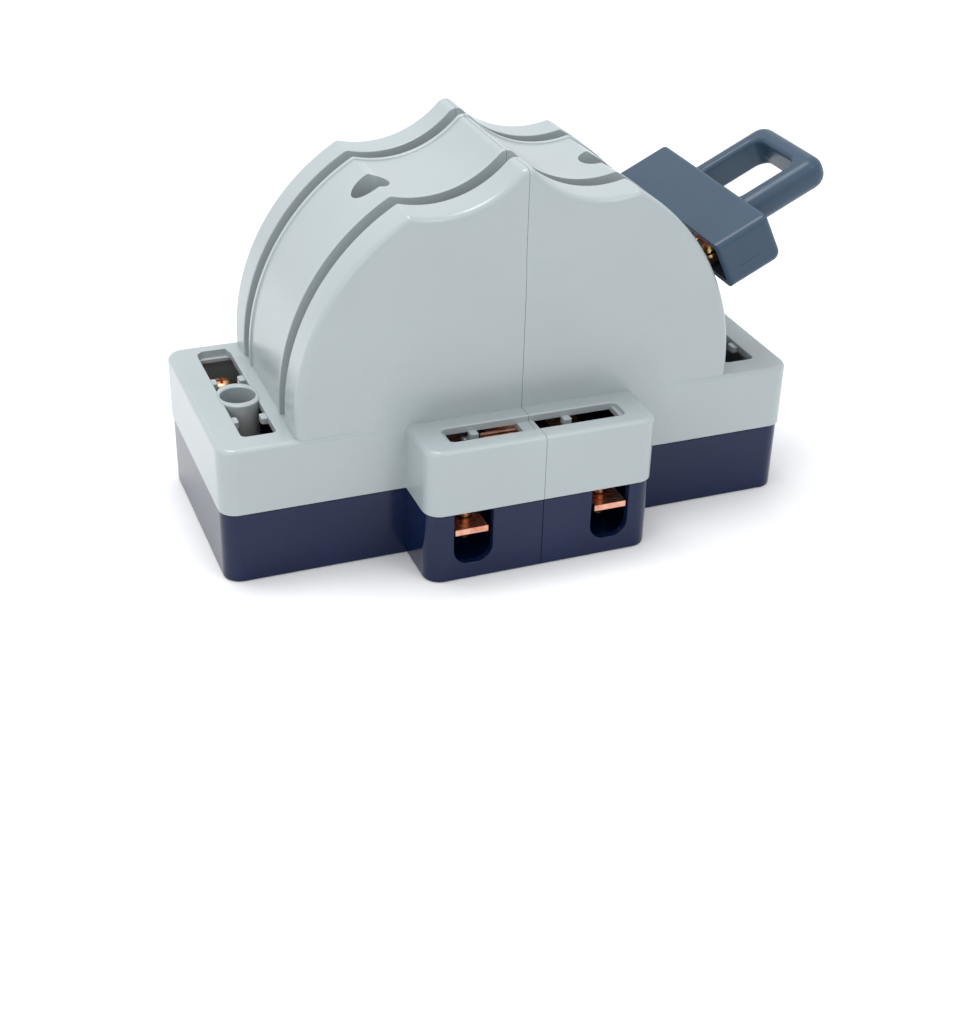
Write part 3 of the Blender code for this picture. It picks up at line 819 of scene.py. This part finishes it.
def end_tabs(side):
    """Four snap tabs, two on each long side of the opening."""
    tabs = []
    for y in (TUBE_Y - 17.2, TUBE_Y + 17.2):
        for edge in (-END_HALF, END_HALF):
            x = side * END.x + edge
            outline = rounded(x - 2.4, x + 2.4, y - 2.4, y + 2.4, 0.9, 4)
            tabs.append(slab(outline, CEILING - 0.5, FLANGE_TOP - 1.0, high_r=0.5))
    return together(*tabs)


def box_slot_parts():
    """Under the box's slot: a bridge at the seam, a ledge at either end and two snap tabs."""
    near, far = BOX_SLOT[2] - 1, BOX_SLOT[3] + 1
    parts = [slab(rounded(-5, 2, near, far, 0.3, 2), BRIDGE_TOP - 2.2, BRIDGE_TOP, high_r=0.3)]
    for _, side in SIDES:
        ledge = rounded(*sorted((side * 34.8, side * 38)), near, far, 0.3, 2)
        parts.append(slab(ledge, BRIDGE_TOP - 1.4, BRIDGE_TOP + 0.8, high_r=0.3))
        x = -23.2 if side < 0 else 15.5
        tab = rounded(x - 1.75, x + 1.75, BOX_SLOT[3] - 3, far, 0.7, 4)
        parts.append(slab(tab, BRIDGE_TOP - 3, BRIDGE_TOP - 0.2, high_r=0.6))
    return together(*parts)


def whole_cover(sizes):
    """Both halves as one hollow solid, before the seam parts them."""
    edge = sizes.flange_edge / MM
    face_r = sizes.face_edge / MM
    flange = rounded(-HALF_LENGTH, HALF_LENGTH, -HALF_WIDTH, HALF_WIDTH, CORNER_R, 10)
    box = rounded(-BOX_HALF, BOX_HALF, BOX_FRONT, 0, CORNER_R, 10)
    room = rounded(
        WALL - HALF_LENGTH, HALF_LENGTH - WALL, WALL - HALF_WIDTH, HALF_WIDTH - WALL, CORNER_R - WALL
    )
    box_room = rounded(WALL - BOX_HALF, BOX_HALF - WALL, BOX_FRONT + WALL, -30, CORNER_R - WALL)
    drum = [(DRUM_R, 40)] + arc(0, PIVOT_Z, DRUM_R, 0, 180, 72) + [(-DRUM_R, 40)]
    face = FACE_Y - WALL
    middle = middle_profile(sizes.bead_width / MM, sizes.bead_rise / MM)
    low = COVER_LOW - 1

    def pocket(near, far):
        return slab(lambda inset=0.0: arch(WALL), near, far, "Y")

    hollow = shaped(
        slab(fixed(drum), -face, face, "Y"),
        join(
            together(
                pocket(-face, -SLOT_FAR - SLOT_WALL),
                pocket(SLOT_WALL - SLOT_NEAR, SLOT_NEAR - SLOT_WALL),
                pocket(SLOT_FAR + SLOT_WALL, face),
            )
        ),
        cut(both(well_post)),
    )
    return shaped(
        slab(flange, COVER_LOW, FLANGE_TOP, low_r=LOW_R, high_r=edge),
        join(slab(box, COVER_LOW, FLANGE_TOP, low_r=LOW_R, high_r=edge)),
        join(loft(arch, plate_profile(-FACE_Y, -SLOT_FAR, face_r, 0.5), "Y")),
        join(loft(arch, middle, "Y")),
        join(loft(arch, plate_profile(FACE_Y, SLOT_FAR, face_r, 0.5), "Y")),
        join(swollen_face(sizes.face_swell / MM)),
        cut(slab(room, low, CEILING)),
        cut(slab(box_room, low, CEILING)),
        cut(hollow),
        cut(both(lambda side: slab(disc(side * WELL.x, WELL.y, WELL_R, 64), WELL_FLOOR + 3, 170))),
        cut(both(lambda side: slab(disc(side * WELL.x, WELL.y, 2.4, 24), WELL_FLOOR - 1, WELL_FLOOR + 4))),
        join(both(end_ledge)),
        cut(both(end_opening)),
        cut(both(end_step)),
        join(both(end_tube)),
        cut(both(end_bore)),
        join(both(end_tabs)),
        cut(cutter(rounded(*BOX_SLOT, 2.8), 48, FLANGE_TOP, 0.6)),
        join(box_slot_parts()),
    )


class KNIFESWITCH_OT_covers(bpy.types.Operator):
    """Builds both halves of the arched cover"""

    bl_idname = "knife_switch.covers"
    bl_label = "Covers"

    def execute(self, context):
        whole = whole_cover(context.scene.knife_switch_cover)
        for name, side in SIDES:
            other = fixed(
                [
                    (-side * BEYOND, -BEYOND),
                    (side * SEAM, -BEYOND),
                    (side * SEAM, BEYOND),
                    (-side * BEYOND, BEYOND),
                ]
            )
            half = shaped(whole.copy(), cut(slab(other, 0, BEYOND)))
            soften(half, at_seam, SEAM_EDGE)
            finished(
                f"cover_{name}_shell", half, material("moulded_abs"), FIXED, "grey_abs", f"cover_{name}"
            )
        whole.free()
        return {"FINISHED"}


# Base


def base_platforms():
    """Seats for the contacts, and pillars that the cover screws run into."""
    low = FLOOR_TOP - 1
    parts = [slab(rounded(-39, 39, -46.2, 41, 1, 2), low, PLATFORM_TOP, high_r=0.4)]
    for _, side in SIDES:
        for _, pole in POLES:
            y = pole * POLE_Y
            jaw = rounded(*sorted((side * 52, side * 90)), y - 11, y + 11, 1, 2)
            end = rounded(*sorted((side * 90.5, side * 113)), y - 9, y + 9, 1, 2)
            parts.append(slab(jaw, low, PLATFORM_TOP, high_r=0.4))
            parts.append(slab(end, low, TERMINAL_TOP, high_r=0.4))
        parts.append(slab(disc(side * WELL.x, WELL.y, 5.0), low, WELL_FLOOR - GAP))
        parts.append(slab(disc(side * END.x, TUBE_Y, 6.4), low, FLOOR_TOP + 1))
    return together(*parts)


def base_holes():
    """Pilot holes for every screw, and the slots of the fixing screws."""
    holes = []
    for name, side in SIDES:
        holes.append(slab(disc(side * WELL.x, WELL.y, 2.3, 20), 34, WELL_FLOOR + 2))
        holes.append(slab(obround(side * END.x, TUBE_Y, 9, 6), -1, FLOOR_TOP + 2))
        for pole_name, pole in POLES:
            foot = sum(box_of(f"jaw_foot_screw_{name}_{pole_name}"), Vector()) / 2
            holes.append(slab(disc(foot.x, foot.y, SCREW_HOLE_R, 20), 20, PLATFORM_TOP + 2))
            holes.append(slab(disc(side * END.x, pole * POLE_Y, TERMINAL_HOLE_R, 20), 26, TERMINAL_TOP + 2))
    for pole_name, _ in POLES:
        foot = sum(box_of(f"hinge_foot_screw_{pole_name}"), Vector()) / 2
        holes.append(slab(disc(foot.x, foot.y, SCREW_HOLE_R, 20), 20, PLATFORM_TOP + 2))
    return together(*holes)


def base_recesses():
    """Shallow pans under the base, between flat ribs."""
    rib, margin, half_slot = 3.0, 5.0, 9.0
    end = BASE_LENGTH_HALF - margin
    stops = (-end, -92.0, -50.0, 0.0, 50.0, 92.0, end)
    pans = []
    for low, high in zip(stops, stops[1:]):
        outer = max(abs(low), abs(high)) > 93
        front_end = TUBE_Y - half_slot if outer else -rib
        rear_start = TUBE_Y + half_slot if outer else rib
        u_low = low + (rib if low > -end else 0)
        u_high = high - (rib if high < end else 0)
        rows = ((margin - BASE_WIDTH_HALF, front_end), (rear_start, BASE_WIDTH_HALF - margin))
        for v_low, v_high in rows:
            pans.append(cutter(rounded(u_low, u_high, v_low, v_high, 2, 4), 2.0, 0.0, 0.4))
    return together(*pans)


class KNIFESWITCH_OT_base(bpy.types.Operator):
    """Builds the one-piece base with its front terminal box"""

    bl_idname = "knife_switch.base"
    bl_label = "Base"

    def execute(self, context):
        length, width = BASE_LENGTH_HALF, BASE_WIDTH_HALF
        box_half, front = BOX_HALF - SETBACK, BASE_BOX[0].y
        above = BASE_HEIGHT + 1
        body = rounded(-length, length, -width, width, CORNER_R, 10)
        box = rounded(-box_half, box_half, front, 0, CORNER_R, 10)
        inner_r = CORNER_R - WALL
        room = rounded(WALL - length, length - WALL, WALL - width, width - WALL, inner_r)
        box_room = rounded(WALL - box_half, box_half - WALL, front + WALL, -width, inner_r)
        doorway = rounded(WALL - box_half, box_half - WALL, -width - 5, -35, 0.5, 2)
        windows = []
        for x in (-WINDOW_X, WINDOW_X):
            outline = rounded(
                x - WINDOW_HALF, x + WINDOW_HALF, WINDOW_LOW, BASE_HEIGHT + 9, WINDOW_R, 12
            )
            windows.append(cutter(outline, front + WALL + 2, front, 0.5, "Y"))
        groove = rounded(-0.15, 0.15, -1, above, 0.05, 1)
        base = shaped(
            slab(body, 0, BASE_HEIGHT, low_r=0.9, high_r=0.25),
            join(slab(box, 0, BASE_HEIGHT, low_r=0.9, high_r=0.25)),
            cut(slab(room, FLOOR_TOP, above)),
            cut(slab(doorway, FLOOR_TOP, above)),
            cut(slab(box_room, 4, above)),
            join(base_platforms()),
            cut(together(*windows)),
            cut(base_holes()),
            cut(base_recesses()),
            cut(slab(groove, front - 1, front + 0.6, "Y")),
        )
        finished("base_moulding", base, material("phenolic"), FIXED, "navy_phenolic", "base")
        return {"FINISHED"}


# Handle


class KNIFESWITCH_OT_handle(bpy.types.Operator):
    """Builds the hollow crossbar and its loop grip"""

    bl_idname = "knife_switch.handle"
    bl_label = "Handle"

    def execute(self, context):
        sizes = context.scene.knife_switch_handle
        block_r, loop_r = sizes.block_edge / MM, sizes.loop_edge / MM
        inner, outer = 94.6, 118.8
        half_height, half_length, wall = 10.5, 45.0, 2.6
        loop_end, loop_half, bar, loop_height = 156.7, 24.5, 9.0, 6.5
        room_v = half_height - wall
        hole_r = 2.2
        section = rounded(inner, outer, -half_height, half_height, (3.8, block_r, 0.3, 0.3), 8)
        loop = rounded(outer - 12, loop_end, -loop_half, loop_half, (7.0, 7.0, 6.0, 6.0), 12)
        hole = rounded(outer - 1, loop_end - bar, bar - loop_half, loop_half - bar, 5.0, 10)
        rims = [(-inset, height) for inset, height in quarter(loop_height, hole_r, 1, 8)]
        hole_profile = [(-hole_r, -loop_height - 1)] + [(i, -h) for i, h in reversed(rims)]
        hole_profile += rims + [(-hole_r, loop_height + 1)]
        room = rounded(wall - half_length, half_length - wall, -room_v, room_v, 1.0, 4)
        ribs, holes = [], []
        for _, pole in POLES:
            near = pole * (POLE_Y - 1.5 - GAP)
            rib = rounded(inner + 0.3, outer - 1, -room_v - 1, room_v + 1, 0.3, 1)
            ribs.append(slab(rib, *sorted((near, near - pole * 3.0)), "Y"))
            hole_ends = sorted((near + pole, near - pole * 6))
            holes.append(slab(disc(BLADE_SCREW_R, 0, SCREW_HOLE_R, 24), *hole_ends, "Y"))
        for y in (-9, 9):
            rib = rounded(inner + 5, outer - 1, -room_v - 1, room_v + 1, 0.3, 1)
            ribs.append(slab(rib, y - 1, y + 1, "Y"))
        witness = []
        for way in (-1, 1):
            line = rounded(inner + 6, outer - 8, -3.1, -2.85, 0.05, 1)
            witness.append(slab(line, *sorted((way * (half_length - 0.08), way * (half_length + 1))), "Y"))
        handle = shaped(
            slab(section, -half_length, half_length, "Y", low_r=3.0, high_r=3.0),
            join(slab(loop, -loop_height, loop_height, low_r=loop_r, high_r=loop_r)),
            cut(loft(hole, hole_profile)),
            cut(slab(room, inner - 2, outer - wall, "X")),
            join(together(*ribs)),
            cut(together(*holes)),
            cut(together(*witness)),
        )
        finished(
            "handle_moulding", thrown(handle), material("moulded_nylon"), THROW, "slate_nylon", "handle"
        )
        return {"FINISHED"}


# Moving contacts


class KNIFESWITCH_OT_blades(bpy.types.Operator):
    """Builds the two blades with their brass screws and nuts"""

    bl_idname = "knife_switch.blades"
    bl_label = "Blades"

    def execute(self, context):
        end, half_height, screw_u = BLADE_END, BLADE_HALF, BLADE_SCREW_R
        for name, pole in POLES:
            y = pole * POLE_Y
            low, high = box_of(f"blade_{name}")

            def bar_at(inset=0.0):
                points = arc(0, 0, half_height - inset, 90, 270, 24)
                return points + [(end - inset, inset - half_height), (end - inset, half_height - inset)]

            blade = shaped(
                slab(bar_at, low.y, high.y, "Y", low_r=0.5, high_r=0.5),
                cut(slab(disc(0, 0, 3.3), y - 5, y + 5, "Y")),
                cut(slab(disc(screw_u, 0, 2.3), y - 5, y + 5, "Y")),
            )
            finished(
                f"blade_{name}_bar",
                thrown(blade),
                material("rolled_copper"),
                THROW,
                "copper",
                f"blade_{name}",
            )
            turn = Matrix.Rotation(-pole * math.pi / 2, 3, "X")
            head = y + pole * (1.5 + GAP)
            profile = [(0, 2.6), (2.4, 2.5), (3.4, 2.0), (3.8, 1.2), (3.8, 0)]
            profile += threads(0, -10.4, 2.0, 0.3, 0.8)
            slot = rounded(-6, 6, -0.55, 0.55, 0.05, 1)
            screw = shaped(turned(profile), cut(slab(slot, 1.3, 4)))
            finished(
                f"blade_{name}_screw",
                thrown(placed(screw, screw_u, head, 0, turn)),
                material("turned_brass"),
                THROW,
                "brass",
                f"blade_screw_{name}",
            )
            nut_low, nut_high = sorted((y - pole * (1.5 + 2 * GAP + 3.0), y - pole * (4.5 + 2 * GAP + 2.8)))
            nut = shaped(
                slab(disc(screw_u, 0, 4.0, 6), nut_low, nut_high, "Y", low_r=0.35, high_r=0.35),
                cut(slab(disc(screw_u, 0, 2.3, 24), y - 12, y + 12, "Y")),
            )
            finished(
                f"blade_{name}_nut",
                thrown(nut),
                material("turned_brass"),
                THROW,
                "brass",
                f"blade_nut_{name}",
            )
        return {"FINISHED"}


# Screws


def threads(start, end, radius, depth, pitch):
    """(radius, height) points down a screw's shank, ridge by ridge, to its pointed end."""
    count = int((start - end - 1.0) / pitch)
    points = [(radius - depth, start)]
    for i in range(count):
        top = start - 0.3 - i * pitch
        points += [
            (radius - depth, top - pitch * 0.2),
            (radius, top - pitch * 0.5),
            (radius - depth * 0.2, top - pitch * 0.62),
            (radius - depth, top - pitch * 0.9),
        ]
    return points + [(radius - depth - 0.5, end), (0, end)]


def pan_screw(place, head_r, head_height, shank_r, length, pitch):
    """A pan-head screw with a cross recess, whose head's underside is at place."""
    dome = [
        (0, head_height),
        (head_r * 0.45, head_height * 0.97),
        (head_r * 0.72, head_height * 0.88),
        (head_r * 0.9, head_height * 0.68),
        (head_r * 0.98, head_height * 0.42),
        (head_r, head_height * 0.15),
        (head_r * 0.98, 0),
    ]
    half, reach = head_r * 0.17, head_r * 0.58
    depth = head_height * 0.38

    def blade_of_cross(along_x):
        sizes = (reach, half) if along_x else (half, reach)

        def at(inset):
            u, v = sizes[0] - inset, sizes[1] - inset * 0.4
            return [(-u, -v), (u, -v), (u, v), (-u, v)]

        return loft(at, [(reach * 0.35, depth), (0, head_height + 1)])

    screw = shaped(
        turned(dome + threads(0, -length, shank_r, shank_r * 0.17, pitch)),
        cut(blade_of_cross(True)),
        cut(blade_of_cross(False)),
    )
    return placed(screw, *place)


class KNIFESWITCH_OT_screws(bpy.types.Operator):
    """Builds every cross-recessed screw at the place its CAD node holds"""

    bl_idname = "knife_switch.screws"
    bl_label = "Screws"

    def execute(self, context):
        kinds = (
            ("common_terminal_screw", ("front", "rear"), "copper_flash", "coppered_screw", 3.4, 2.55, 1.7),
            ("cover_screw", ("left", "right"), "zinc_plate", "zinc_steel", 2.6, 1.9, 1.1),
            ("hinge_foot_screw", ("front", "rear"), "zinc_plate", "zinc_steel", 2.4, 1.9, 0.9),
        )
        corners = [f"{side}_{pole}" for side, _ in SIDES for pole, _ in POLES]
        kinds += (
            ("terminal_screw", corners, "copper_flash", "coppered_screw", 3.0, 2.5, 1.2),
            ("jaw_foot_screw", corners, "zinc_plate", "zinc_steel", 2.4, 1.9, 0.9),
        )
        for kind, names, finish, slot, head_height, shank_r, pitch in kinds:
            for name in names:
                low, high = box_of(f"{kind}_{name}")
                middle = (low + high) / 2
                head_r = (high.x - low.x) / 2
                under = high.z - head_height
                place = (middle.x, middle.y, under)
                screw = pan_screw(place, head_r, head_height, shank_r, under - low.z, pitch)
                finished(f"{kind}_{name}_turned", screw, material(finish), FIXED, slot, f"{kind}_{name}")
        return {"FINISHED"}


# Fixed contacts


def strip(points, low, high, axis="Y", edge=0.35):
    """A bent bar: an outline pulled along an axis, with its long edges rounded."""
    bm = slab(fixed(points), low, high, axis)
    return soften(bm, rightangled, edge)


class KNIFESWITCH_OT_bars(bpy.types.Operator):
    """Builds the copper bars that run to the front and the end terminals"""

    bl_idname = "knife_switch.bars"
    bl_label = "Bars"

    def execute(self, context):
        bar, plate_low, drop_y = BAR_THICKNESS, PLATE_LOW, BAR_DROP_Y
        for name, pole in POLES:
            y = pole * POLE_Y
            low_corner, high_corner = box_of(f"common_bar_{name}")
            window_x = pole * WINDOW_X
            outer = window_x + pole * (WINDOW_HALF - 0.6)
            inner = window_x - pole * (WINDOW_HALF - 1.6)
            low = PLATFORM_TOP + 2 + 2 * GAP
            run = [
                (y, low),
                (drop_y + bar, low),
                (drop_y + bar, plate_low),
                (low_corner.y, plate_low),
                (low_corner.y, plate_low + bar),
                (drop_y, plate_low + bar),
                (drop_y, low + bar),
                (y, low + bar),
            ]
            arm = rounded(*sorted((pole * 9.8, outer)), y - 6.5, y + 6.5, 0.8, 3)
            screw = sum(box_of(f"hinge_foot_screw_{name}"), Vector()) / 2
            terminal = sum(box_of(f"common_terminal_screw_{name}"), Vector()) / 2
            steps = [join(slab(arm, low, low + bar, low_r=0.3, high_r=0.3))]
            if pole < 0:
                top = high_corner.z
                step_z = top - 8.5
                fold = [(-30, low), (-6, low), (-6, top), (-20.6, top), (-20.6, step_z), (-30, step_z)]
                upstand = soften(slab(fixed(fold), -56.6, -54.4, "Y"), rightangled, 0.3)
                bead = rounded(-20, -6.6, top - 1.35, top - 0.95, 0.1, 2)
                steps.append(join(upstand))
                steps.append(cut(slab(bead, -57, -56.35, "Y")))
            steps.append(cut(slab(disc(screw.x, screw.y, SCREW_HOLE_R), low - 1, low + 5)))
            terminal_hole = disc(terminal.x, terminal.y, TERMINAL_HOLE_R)
            steps.append(cut(slab(terminal_hole, plate_low - 1, plate_low + 5)))
            piece = shaped(strip(run, *sorted((inner, outer)), "X"), *steps)
            finished(
                f"common_bar_{name}_strip",
                piece,
                material("rolled_copper"),
                FIXED,
                "copper",
                f"common_bar_{name}",
            )
        for name, side in SIDES:
            for pole_name, _ in POLES:
                node = f"terminal_bar_{name}_{pole_name}"
                low_corner, high_corner = box_of(node)
                foot = sum(box_of(f"jaw_foot_screw_{name}_{pole_name}"), Vector()) / 2
                start, end = sorted((abs(low_corner.x), abs(high_corner.x)))
                crank, low, top = 89.6, low_corner.z, high_corner.z
                profile = [
                    (start, low),
                    (crank, low),
                    (crank, top - bar),
                    (end, top - bar),
                    (end, top),
                    (crank - bar, top),
                    (crank - bar, low + bar),
                    (start, low + bar),
                ]
                points = [(side * u, v) for u, v in profile]
                piece = shaped(
                    strip(points, low_corner.y, high_corner.y),
                    cut(slab(disc(foot.x, foot.y, SCREW_HOLE_R), low - 1, low + 5)),
                    cut(slab(disc(side * END.x, foot.y, TERMINAL_HOLE_R), top - 4, top + 2)),
                )
                finished(f"{node}_strip", piece, material("rolled_copper"), FIXED, "copper", node)
        return {"FINISHED"}


class KNIFESWITCH_OT_inner_parts(bpy.types.Operator):
    """Gives the hinges, jaws and springs, which keep their CAD shapes, their metals"""

    bl_idname = "knife_switch.inner_parts"
    bl_label = "Hinges and jaws"

    def execute(self, context):
        for name, node in frame["nodes"].items():
            if node.hide_render:
                continue
            copper = name.startswith("hinge_clip") or name.startswith("jaw_") and "spring" not in name
            finish = material("rolled_copper" if copper else "zinc_plate")
            if not node.material_slots:
                node.data.materials.append(finish)
            for place in node.material_slots:
                place.link = "OBJECT"
                place.material = finish
        return {"FINISHED"}


# Stage


def area_light(name, place, size, power):
    """A square soft light that faces the object's middle."""
    data = bpy.data.lights.new(name, "AREA")
    data.shape = "SQUARE"
    data.size = size
    data.energy = power
    obj = bpy.data.objects.new(name, data)
    bpy.context.scene.collection.objects.link(obj)
    obj.location = place
    target = Vector((0, 0, 0.06))
    obj.rotation_euler = (target - Vector(place)).to_track_quat("-Z", "Y").to_euler()


class KNIFESWITCH_OT_stage(bpy.types.Operator):
    """Adds the floor, the lights and the camera"""

    bl_idname = "knife_switch.stage"
    bl_label = "Stage"

    def execute(self, context):
        scene = context.scene
        settings = scene.knife_switch_stage
        bm = bmesh.new()
        bmesh.ops.create_grid(bm, x_segments=8, y_segments=8, size=6.0)
        mesh = bpy.data.meshes.new("floor")
        bm.to_mesh(mesh)
        bm.free()
        floor = bpy.data.objects.new("floor", mesh)
        scene.collection.objects.link(floor)
        # Matt studio paper: even and pale, with the faintest tooth.
        paper, tree, place, shader = new_material("studio_paper")
        shader.inputs["Base Color"].default_value = (*settings.floor, 1.0)
        shader.inputs["Roughness"].default_value = 0.85
        tooth = add_node(tree, "ShaderNodeTexNoise", {"Vector": place, "Scale": per_mm(1.5)})
        bump = add_node(
            tree, "ShaderNodeBump", {"Height": tooth.outputs["Fac"], "Strength": 0.2, "Distance": 0.05 * MM}
        )
        tree.links.new(bump.outputs["Normal"], shader.inputs["Normal"])
        mesh.materials.append(paper)

        scene.view_settings.view_transform = "Standard"
        world = bpy.data.worlds.new("studio")
        scene.world = world
        world.use_nodes = True
        sky = world.node_tree.nodes["Background"]
        sky.inputs["Color"].default_value = (*linear("#FAFCFF"), 1.0)
        sky.inputs["Strength"].default_value = settings.sky
        area_light("top_light", (-0.2, 0.25, 1.5), 0.7, settings.top * 10)
        area_light("left_light", (-1.3, -0.9, 1.0), 0.8, settings.side * 10)
        area_light("front_light", (0.5, -0.85, 1.3), 0.5, settings.side * 10)

        camera_data = bpy.data.cameras.new("camera")
        camera_data.lens = CAMERA_LENS
        camera_data.sensor_width = CAMERA_SENSOR
        camera_data.clip_start, camera_data.clip_end = 0.01, 50.0
        camera = bpy.data.objects.new("camera", camera_data)
        scene.collection.objects.link(camera)
        yaw, pitch, roll = (math.radians(a) for a in (CAMERA_YAW, CAMERA_PITCH, CAMERA_ROLL))
        aim = Matrix.Rotation(-yaw, 4, "Z") @ Matrix.Rotation(math.pi / 2 - pitch, 4, "X")
        camera.matrix_world = (
            Matrix.Translation(CAMERA_PLACE) @ aim @ Matrix.Rotation(roll, 4, "Z")
        )
        scene.camera = camera
        return {"FINISHED"}


class KNIFESWITCH_PT_panel(bpy.types.Panel):
    """Lists the switch's sizes, colours and pieces"""

    bl_idname = "KNIFESWITCH_PT_panel"
    bl_label = "Knife Switch"
    bl_space_type = "VIEW_3D"
    bl_region_type = "UI"
    bl_category = "Knife Switch"

    def draw(self, context):
        for name, group in GROUPS.items():
            part = self.layout.box()
            for field in group.__annotations__:
                part.prop(getattr(context.scene, name), field)
        for operator in OPERATORS:
            self.layout.operator(operator.bl_idname)


GROUPS = {
    "knife_switch_colours": KnifeSwitchColours,
    "knife_switch_cover": KnifeSwitchCover,
    "knife_switch_handle": KnifeSwitchHandle,
    "knife_switch_stage": KnifeSwitchStage,
}
OPERATORS = (
    KNIFESWITCH_OT_base,
    KNIFESWITCH_OT_covers,
    KNIFESWITCH_OT_handle,
    KNIFESWITCH_OT_blades,
    KNIFESWITCH_OT_screws,
    KNIFESWITCH_OT_bars,
    KNIFESWITCH_OT_inner_parts,
    KNIFESWITCH_OT_stage,
)
CLASSES = (*GROUPS.values(), *OPERATORS, KNIFESWITCH_PT_panel)


def register():
    for cls in CLASSES:
        bpy.utils.register_class(cls)
    for name, group in GROUPS.items():
        setattr(bpy.types.Scene, name, PointerProperty(type=group))


def unregister():
    for name in GROUPS:
        delattr(bpy.types.Scene, name)
    for cls in reversed(CLASSES):
        bpy.utils.unregister_class(cls)


def main():
    register()
    for obj in [o for o in bpy.data.objects if o.name in ("Cube", "Light", "Camera")]:
        bpy.data.objects.remove(obj)
    for operator in OPERATORS:
        group, name = operator.bl_idname.split(".")
        getattr(getattr(bpy.ops, group), name)()


if __name__ == "__main__":
    main()
